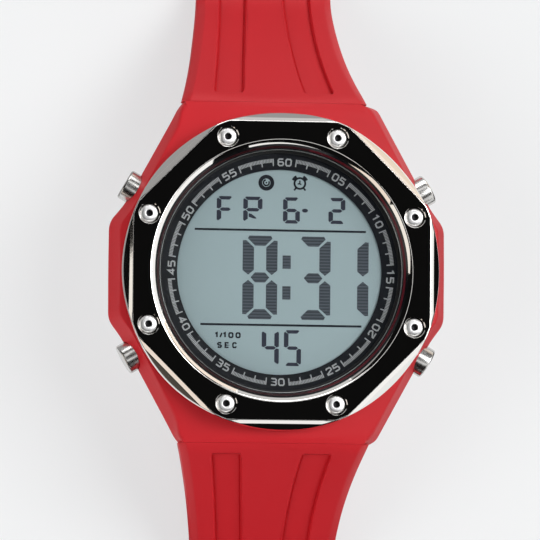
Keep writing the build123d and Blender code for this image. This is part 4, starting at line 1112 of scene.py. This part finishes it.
def case_grid():
    """Rows round the case, from the seat over the edge, down the drafted wall, under the
    case, and up its bore.

    The waist is let out by 0.32 mm, less by the upper left flank, so that its rolled
    edge still reaches the full width. The end corners on the right are cut off along a
    square curve, the upper by 1.15 mm and the lower by 0.5, and the walls beside the
    left ones stand up straight to meet the strap."""
    angle = np.arctan2(widest[:, 1], widest[:, 0])
    facing = np.gradient(widest, axis=0)
    end = np.abs(facing[:, 0]) / np.linalg.norm(facing, axis=1)
    end = np.clip((end - 0.75) / 0.2, 0, 1) * (np.abs(widest[:, 1]) > 24.6)

    beside = ((np.abs(widest[:, 1]) - 21.8) / 3.3).clip(0, 1) * (widest[:, 0] < 0)
    upright = 1 - 0.85 * beside**2 * (3 - 2 * beside)

    upper_left = ((widest[:, 1] - 8) / 3).clip(0, 1) * (widest[:, 0] < 0)
    let_out = 0.32 + 0.08 * np.exp(-((widest[:, 1] / 6) ** 2)) - 0.28 * upper_left

    def level(z, inset):
        """A row at heights z, with the outline drawn in by the inset."""
        leaning = np.where(np.asarray(z) > CASE_WAIST, upright, 1)
        flat = widest + drawn_in * (inset * leaning)[:, None]
        return np.column_stack([flat, np.broadcast_to(z, angle.shape)])

    def ring(radius, z):
        """A round row."""
        x, y = radius * np.cos(angle), radius * np.sin(angle)
        return np.column_stack([x, y, 0 * angle + z])

    # The rim lies where the leaning wall meets the top, which four steps come close to
    edge = np.full(angle.shape, 10.2)
    for _ in range(4):
        rim = level(edge, (edge - CASE_WAIST) * UPPER_DRAFT)
        edge = top_height(rim[:, 0], rim[:, 1])
    rim = level(edge, (edge - CASE_WAIST) * UPPER_DRAFT)
    start = ring(BEZEL_RADIUS - 0.1, CASE_SEAT)
    share = np.array([0.1, 0.25, 0.4, 0.52, 0.62, 0.7])[:, None, None]
    top = start + share * (rim - start)
    top[..., 2] = top_height(top[..., 0], top[..., 1])
    low = edge - 2.4
    wall = level(low, (low - CASE_WAIST) * UPPER_DRAFT)
    over = eased(np.stack([top[-1], rim, wall]), 0.03 + 1.0 * (1 - end), 9)[1]
    waist = level(CASE_WAIST, -let_out)
    foot = level(CASE_FLOOR, (CASE_WAIST - CASE_FLOOR) * LOWER_DRAFT)
    sides = eased(np.stack([wall, waist, foot, ring(BACK_RADIUS, CASE_FLOOR)]),
                  np.array([0, 1.0, 0.35, 0])[:, None], 7)
    grid = np.stack([
        ring(GLASS_RADIUS, GASKET_SEAT), ring(GLASS_RADIUS, CASE_SEAT), start, *top,
        *over, *sides[1], *sides[2],
        ring(BACK_RADIUS, CASE_FLOOR), ring(BACK_RADIUS, BACK_SEAT),
        ring(CAVITY_RADIUS, BACK_SEAT), ring(CAVITY_RADIUS, MODULE_TOP),
        ring(DIAL_RADIUS, MODULE_TOP), ring(DIAL_RADIUS, GASKET_SEAT),
    ])
    share = ((np.abs(grid[..., 1]) - 24.3) / 0.83).clip(0, 1)
    cut_off = np.where(grid[..., 1] > 0, CUT_OFF_UPPER, CUT_OFF_LOWER) * share**2
    grid[..., 0] -= cut_off * ((grid[..., 0] - 2) / 10).clip(0, 1)
    return grid


button_axes = {
    place: (cos(radians(degrees)), sin(radians(degrees)), 0)
    for place, degrees in BUTTON_DEGREES.items()
}
lug_shape = np.concatenate([
    arc(SPRING_BAR, 1.7, -90, 90, 20),
    [(24.9, 5.7), (24.2, 5.4), (24.2, 2.6), (24.9, 2.3)],
])
lugs = [
    slab(lug_shape * (side, 1), low, low + 3, 0.2)
    for side in (-1, 1) for low in (8.4, -11.4)
]
case_shell = mesh_piece(
    "case_shell", *joined(grid_faces(case_grid(), loop_u=True, loop_v=True), *lugs),
    "case", red_resin, ["case_body"], 36,
)
pockets = [
    rod_faces(POCKET_FLOOR, 30, axis, POCKET_RADIUS, BUTTON_FOOT)
    for axis in button_axes.values()
]
cut(case_shell, *joined(*pockets), sharp=36)


# Buttons: a polished cap with a barely domed end, its stem grooved for seal and clip,
# and a coil spring between its seat in the case and the cap
def coil(foot, axis, radius, wire, length, turns, steps=36):
    """A wire coil that fills a length from its foot along an axis, its ends drawn shut.

    Its line is foot + radius (cos t side + sin t other) + an even rise along the axis,
    with a ring of the wire's radius about each of its points."""
    along = np.array(axis, float)
    side = np.array(Vector(axis).orthogonal().normalized())
    other = np.cross(along, side)
    t = np.linspace(0, 2 * pi * turns, turns * steps + 1)[:, None, None]
    s = np.linspace(0, 2 * pi, 10, endpoint=False)[None, :, None]
    outward = np.cos(t) * side + np.sin(t) * other
    rise = wire + (length - 2 * wire) * t / t.max()
    round_wire = np.full(t.shape, wire)
    round_wire[[0, -1]] = 0
    ring = round_wire * (np.cos(s) * outward + np.sin(s) * along)
    return np.array(foot) + radius * outward + rise * along + ring


for place, axis in button_axes.items():
    cap = rounded(
        [(0, 15.9), (0.75, 15.9), (0.75, 16.4), (0.55, 16.4), (0.55, 16.8), (0.75, 16.8),
         (0.75, 18.66), (0.44, 18.66), (0.44, 19.33), (0.75, 19.33), (0.75, 23.29),
         (2.12, 23.29), (2.3, 23.45), (2.3, 25.92), (2.12, 26.15), (0, 26.19)],
        [0, 0.1, 0, 0, 0, 0, 0, 0, 0, 0, 0, 0.05, 0.05, 0.1, 0.1, 0], 5)
    surface(
        f"button_cap_{place}", turned(cap, 64, BUTTON_FOOT, axis), f"button_{place}",
        button_steel, [f"button_{place}"], loop_u=True, sharp=45,
    )
    seat = np.array(BUTTON_FOOT) + SPRING_SEAT * np.array(axis)
    wire_coil = coil(seat, axis, SPRING_RADIUS, SPRING_WIRE, SPRING_LENGTH, turns=3)
    spring = surface(
        f"button_coil_{place}", wire_coil, "case", button_steel,
        [f"button_spring_{place}"], loop_v=True, sharp=60,
    )
    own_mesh(spring)


# Strap: sections carried down a slope, round a bend and along the table
SLOPE_RUN, BEND_RADIUS = 22.64, 14.3
CHANNEL_START, CHANNEL_END, CHANNEL_DEPTH = 26.6, 59.25, 0.6


def strap_top(run):
    """The strap's top line at a distance along it, and how steeply it still falls.

    It falls at 45 degrees, then turns level on an arc, then lies flat."""
    turned_by = np.clip((run - SLOPE_RUN) / BEND_RADIUS, 0, pi / 4)
    steep = pi / 4 - turned_by
    straight = np.minimum(run, SLOPE_RUN) * sin(pi / 4)
    level = np.maximum(run - SLOPE_RUN - BEND_RADIUS * pi / 4, 0)
    y = 25.15 + straight + BEND_RADIUS * (sin(pi / 4) - np.sin(steep)) + level
    z = 10.21 - straight - BEND_RADIUS * (np.cos(steep) - cos(pi / 4))
    return y, z, steep


def taper(y, near, neck, waist, beyond):
    """A half width along the strap: a curve through three points, then straight runs."""
    curve = np.polyval(np.polyfit(*zip(near, neck, waist), 2), y)
    return np.where(y < waist[0], curve, np.interp(y, *zip(waist, *beyond)))


def strap_runs(long_end, band_end):
    """Distances along the strap's top line, close together where its form changes."""
    first = np.concatenate([np.arange(0, 1.0, 0.12), np.arange(1.0, 1.9, 0.2),
                            np.arange(1.9, 3.4, 0.08), np.arange(3.4, 7, 0.45),
                            np.arange(7, 34, 0.9)])
    y_first = strap_top(first)[0]
    plain = np.arange(y_first[-1] + 0.9, band_end - 0.1, 1.2)
    marks = [58.9, 59.0, 59.1, 59.2, 59.3] + ([] if long_end else [65.2, 66.7, 92.0])
    near_mark = np.min(np.abs(plain[:, None] - np.array(marks)), axis=1) < 0.08
    y_plain = np.sort(np.concatenate([plain[~near_mark], marks, [band_end]]))
    run_flat = SLOPE_RUN + BEND_RADIUS * pi / 4
    flat_start = strap_top(np.array([run_flat]))[0][0]
    runs = np.concatenate([first, run_flat + y_plain - flat_start])
    if long_end:
        phi = np.linspace(radians(58.1), 0.012, 16)[1:]
        ends = TIP_CENTRE + TIP_RADIUS * np.cos(phi)
    else:
        phi = np.linspace(pi / 2, 0, 10)[1:]
        ends = BUCKLE_END + BUCKLE_EYE * np.cos(phi)
    return np.concatenate([runs, run_flat + ends - flat_start])


def strap_grid(reach):
    """Closed sections of half a strap, from the case to its end.

    Across the top the depth is nil on the lands, and in the two channels it is the
    channel's depth times a wall profile, a little more at the walls' feet. In the bevel
    at the edge it grows one for one. The section leans from upright at the case to
    square on the slope, and the soft band lies a little to the left beside the case, by
    a bell curve along it, with its edges beyond the channels drawn out a little more."""
    long_end = reach > 100
    band_end = 131.0 if long_end else BUCKLE_END
    runs = strap_runs(long_end, band_end)
    y0 = strap_top(runs)[0][:, None]
    # Distances from a channel's wall, and the shares of the channel's depth there
    wall = np.array([-0.25, -0.07, 0.0, 0.05, 0.1, 0.2, 0.4])
    drop = np.array([0, 0.03, 0.15, 0.5, 0.95, 1.2, 1.0])
    # Distances from the strap's edge, and the bevel's depths there
    edge = np.array([1.35, 1.12, 0.97, 0.5, 0.08, 0.01, 0.0])
    fall = np.array([0, 0.03, 0.1, 0.52, 0.94, 1.06, 1.22])
    # Distances from the edge, and heights above the underside, at its rounded corner
    base = np.array([0, 0.03, 0.14, 0.35])
    heel = np.array([0.35, 0.14, 0.03, 0])
    thick = np.full_like(y0, STRAP_THICKNESS)
    top_drop = np.zeros_like(y0)
    bevel = np.ones_like(y0)
    if not long_end:
        # The buckle end is thinner, and rounded off about the buckle bar
        thick = np.interp(
            y0, [65.2, 66.7, 92, BUCKLE_END], [STRAP_THICKNESS, 2.1, 2.1, 2.9]
        )
        bevel = np.interp(y0, [92, BUCKLE_END], [1, 0.35])
        end = (y0 - BUCKLE_END).clip(0, BUCKLE_EYE) / BUCKLE_EYE
        round_off = np.sqrt(1 - end**2)
        past = y0 > BUCKLE_END
        top_drop = np.where(past, BUCKLE_EYE * (1 - round_off), 0)
        thick = np.where(past, BUCKLE_EYE * (1 + round_off), thick)
        bevel = bevel * np.where(past, round_off, 1)

    def place(across, deep):
        """Points at a depth; across gives how far they lie from the middle line."""
        lean = deep * np.clip(1 - runs[:, None] / 6, 0, 1)
        y, z, steep_here = strap_top(runs[:, None] + lean)
        y = y - deep * np.sin(steep_here)
        z = z - deep * np.cos(steep_here)
        return across(y), y, z

    def half(y):
        """The strap's half width: round at the tip, and the upper half has a waist."""
        w = taper(
            y, (25.2, 13.9), (32.4, 11.9), (43.0, 10.5), [(61.2, 9.7), (band_end, 9.0)]
        )
        if long_end:
            round_tip = np.sqrt((TIP_RADIUS**2 - (y - TIP_CENTRE) ** 2).clip(0))
            return np.where(y > band_end, round_tip, w)
        return w - 0.75 * np.exp(-(((y - 36) / 9) ** 2))

    def inner(y):
        """A channel's inner edge."""
        return taper(y, (26.6, 4.45), (32.4, 3.6), (43.0, 2.75), [(59.2, 2.5)])

    def outer(y):
        """A channel's outer edge."""
        return taper(y, (26.6, 9.0), (32.4, 7.85), (43.0, 6.9), [(59.2, 6.0)])

    def channel(y, off):
        """Share of the channel's depth, which falls to nil beyond its two ends."""
        corner = 0.6 - np.sqrt((0.36 - (0.6 - off.clip(0, 0.6)) ** 2).clip(0))
        rise = np.clip((y - CHANNEL_START - corner) / 0.22, 0, 1)
        sink = np.clip((CHANNEL_END - y) / 0.3, 0, 1)
        return rise**2 * (3 - 2 * rise) * sink**2 * (3 - 2 * sink)

    columns = []

    def add(across, deep, off=None, share=0):
        """A column along the strap; off is its distance from a channel's wall."""
        deep = np.broadcast_to(deep, y0.shape).astype(float)
        x, y, z = place(across, deep)
        if share:
            deep = deep + CHANNEL_DEPTH * share * channel(y, np.full_like(y, off))
            x, y, z = place(across, deep)
        if long_end:
            rim = TIP_RADIUS - np.hypot(x, y - TIP_CENTRE)
            extra = np.where(y > 128, (1.0 - rim).clip(0, 1), 0)
            x, y, z = place(across, deep + extra * np.clip(1.2 - deep, 0, 1))
        columns.append(np.stack([x, y, z, 1 - deep / STRAP_THICKNESS], -1)[:, 0])

    narrow = np.clip(half(y0) / 9.0, 0, 1)
    for share in (0, 0.5, 0.93):
        add(lambda y, k=share: inner(y) * k * narrow, top_drop)
    for off, down in zip(wall, drop):
        add(lambda y, k=off: (inner(y) + k) * narrow, top_drop, off, down)
    for share in (0.15, 0.38, 0.62, 0.85):
        add(
            lambda y, k=share: (inner(y) + (outer(y) - inner(y)) * k) * narrow,
            top_drop, 1, 1,
        )
    for off, down in zip(wall[::-1], drop[::-1]):
        add(lambda y, k=off: (outer(y) - k) * narrow, top_drop, off, down)
    for share in (0.35, 0.75):
        add(
            lambda y, k=share: (outer(y) + (half(y) - 1.4 - outer(y)) * k) * narrow,
            top_drop,
        )
    for off, down in zip(edge, fall):
        add(lambda y, k=off: half(y) - k * bevel * narrow, top_drop + down * bevel)
    middle = (top_drop + thick) / 2
    add(half, np.maximum(middle, np.minimum(top_drop + 1.3 * bevel, thick)))
    tight = np.minimum(1, (thick - top_drop) / 2.9)
    for off, up in zip(base, heel):
        add(lambda y, k=off: half(y) - k * tight * narrow, thick - up * tight)
    for share in (0.75, 0.5, 0.25, 0):
        add(lambda y, k=share: (half(y) - 0.35).clip(0) * k, thick)
    grid = np.stack(columns, 1)
    x, y, z, keep = np.moveaxis(grid, -1, 0)
    z = z + (top_height(x, y) - (FOLD - y)) * keep.clip(0, 1) * (y < 28)
    right = np.stack([x, y, z], -1)
    left = right[:, -2:0:-1] * (-1, 1, 1)
    both = np.concatenate([right, left], 1)
    x, y = both[..., 0], both[..., 1]
    beyond = ((np.abs(x) - outer(y)) / (half(y) - outer(y)).clip(0.1)).clip(0, 1)
    if long_end:
        fade = ((y - 45) / 25).clip(0, 1)
        widened = np.where(x > 0, 0.42, 0.17 * ((y - 25) / 8).clip(0, 1))
        widened *= 1 - fade**2 * (3 - 2 * fade)
    else:
        widened = 0.43 * np.sign(x) * np.exp(-(((y - 36) / 6) ** 2))
    both[..., 0] += widened * beyond
    both[..., 0] -= 0.95 * np.exp(-(((y - 33) / 14) ** 2))
    return both


def strap_half(name, side, reach, body, node):
    """Half a strap with the tongue round its spring bar and notches for the lugs."""
    grid = strap_grid(reach) * (1, side, 1)
    body_part = grid_faces(grid, loop_v=True, caps=True)
    tongue = np.concatenate([
        arc(SPRING_BAR, 1.9, 135, 315, 30), arc((29.8, 3.5), 0.7, 315, 405, 10),
    ])
    half_tongue = slab(tongue * (side, 1), -8.2, 8.2, 0.15)
    piece = mesh_piece(name, *body_part, body, red_strap, [node], 32)
    notch = np.concatenate([
        arc(SPRING_BAR, 1.85, -45, 90, 24), [(24.0, 5.85), (24.0, -2.0), (24.6, -1.45)],
    ])
    cutters = [slab(notch * (side, 1), low, low + 3.3, 0.001) for low in (8.2, -11.5)]
    if reach > 100:
        holes = [(0, side * (127.2 - 6 * k)) for k in range(11)]
        cutters.append(rods(holes, 1.2, -20, 10, 40))
    else:
        slot = np.array([(-1.7, 93.4), (1.7, 93.4), (1.7, 99), (-1.7, 99)]) * (1, side)
        cutters.append(slab(slot, -20, 0, 0.001, "z"))
    cut(piece, *joined(*cutters), sharp=32)
    wrap = mesh_piece(f"{name}_tongue", *half_tongue, body, red_strap, (), 32)


strap_half("strap_upper_band", 1, 97.45, "upper_strap", "strap_upper")
strap_half("strap_lower_band", -1, 136.0, "lower_strap", "strap_lower")


# Keepers: a band's section carried round a rounded loop
def keeper_grid(near, far, half):
    """Points round a loop, between its inner and outer line, from near to far.

    Each section's four corners are eased, and the loop is 1.1 mm thick, 0.85 below."""

    def line(wide, low, high, ease):
        """A rounded rectangle across the strap."""
        box = [(-wide, low), (wide, low), (wide, high), (-wide, high)]
        return rounded(box, ease, 9, True)

    inner = line(half, -12.15, -6.7, 0.25)
    outer = line(half + 1.1, -13, -5.6, 2.3)
    corners = [(inner, near), (outer, near), (outer, far), (inner, far)]
    section = np.stack([
        np.column_stack([points[:, 0], np.full(len(points), y), points[:, 1]])
        for points, y in corners
    ])
    return eased(section, 0.32, 5).reshape(-1, len(inner), 3)


for name, body, near, far, half in (
    ("fixed_keeper", "upper_strap", 86.5, 91.5, 9.31),
    ("sliding_keeper", "sliding_keeper", 75.0, 81.0, 9.74),
):
    surface(
        f"{name}_loop", keeper_grid(near, far, half), body, red_strap, [name],
        loop_u=True, loop_v=True, sharp=32,
    )


# Buckle: a flat U whose arms end in knuckles, and a prong with an eye on the bar
def belt(first, first_radius, second, second_radius, steps=20):
    """Outline of two circles and the straight lines that touch both on the outside.

    The lines touch at the angle between the centres, plus and minus the arc cosine of
    the radii's difference over the distance."""
    gap = np.subtract(second, first)
    heading = np.degrees(np.arctan2(gap[1], gap[0]))
    reach = np.degrees(np.arccos((first_radius - second_radius) / np.hypot(*gap)))
    return np.concatenate([
        arc(first, first_radius, heading + reach, heading + 360 - reach, 2 * steps),
        arc(second, second_radius, heading - reach, heading + reach, steps),
    ])


plan = rounded(
    [(11.2, 99.9), (11.2, 110), (-11.2, 110), (-11.2, 99.9), (-9.4, 99.9), (-9.4, 108),
     (9.4, 108), (9.4, 99.9)],
    [0, 3.4, 3.4, 0, 0, 1.4, 1.4, 0], 9, True)
knuckle = belt(BUCKLE_BAR, BUCKLE_EYE, (100, -12.1), 0.9)
mesh_piece(
    "buckle_frame_polished",
    *joined(slab(plan, -13, -11.2, 0.3, "z"), slab(knuckle, 9.4, 11.2, 0.25),
            slab(knuckle, -11.2, -9.4, 0.25)),
    "buckle_frame", node_finishes[slot_of["buckle_frame"]], ["buckle_frame"], 32,
)
eye = belt(BUCKLE_BAR, 1.35, (100, -10.58), 0.55)
prong = np.concatenate([
    eye[eye[:, 0] < 100.0],
    [(100.0, -11.13), (105.5, -11.13), (110.5, -11.13), (110.8, -10.9), (110.8, -10.5),
     (110.5, -10.12), (110.2, -10.03), (105.5, -10.03), (100.0, -10.03)],
])
mesh_piece(
    "buckle_prong_polished", *slab(prong, -1.4, 1.4, 0.28), "buckle_tongue",
    node_finishes[slot_of["buckle_tongue"]], ["buckle_tongue"], 32,
)
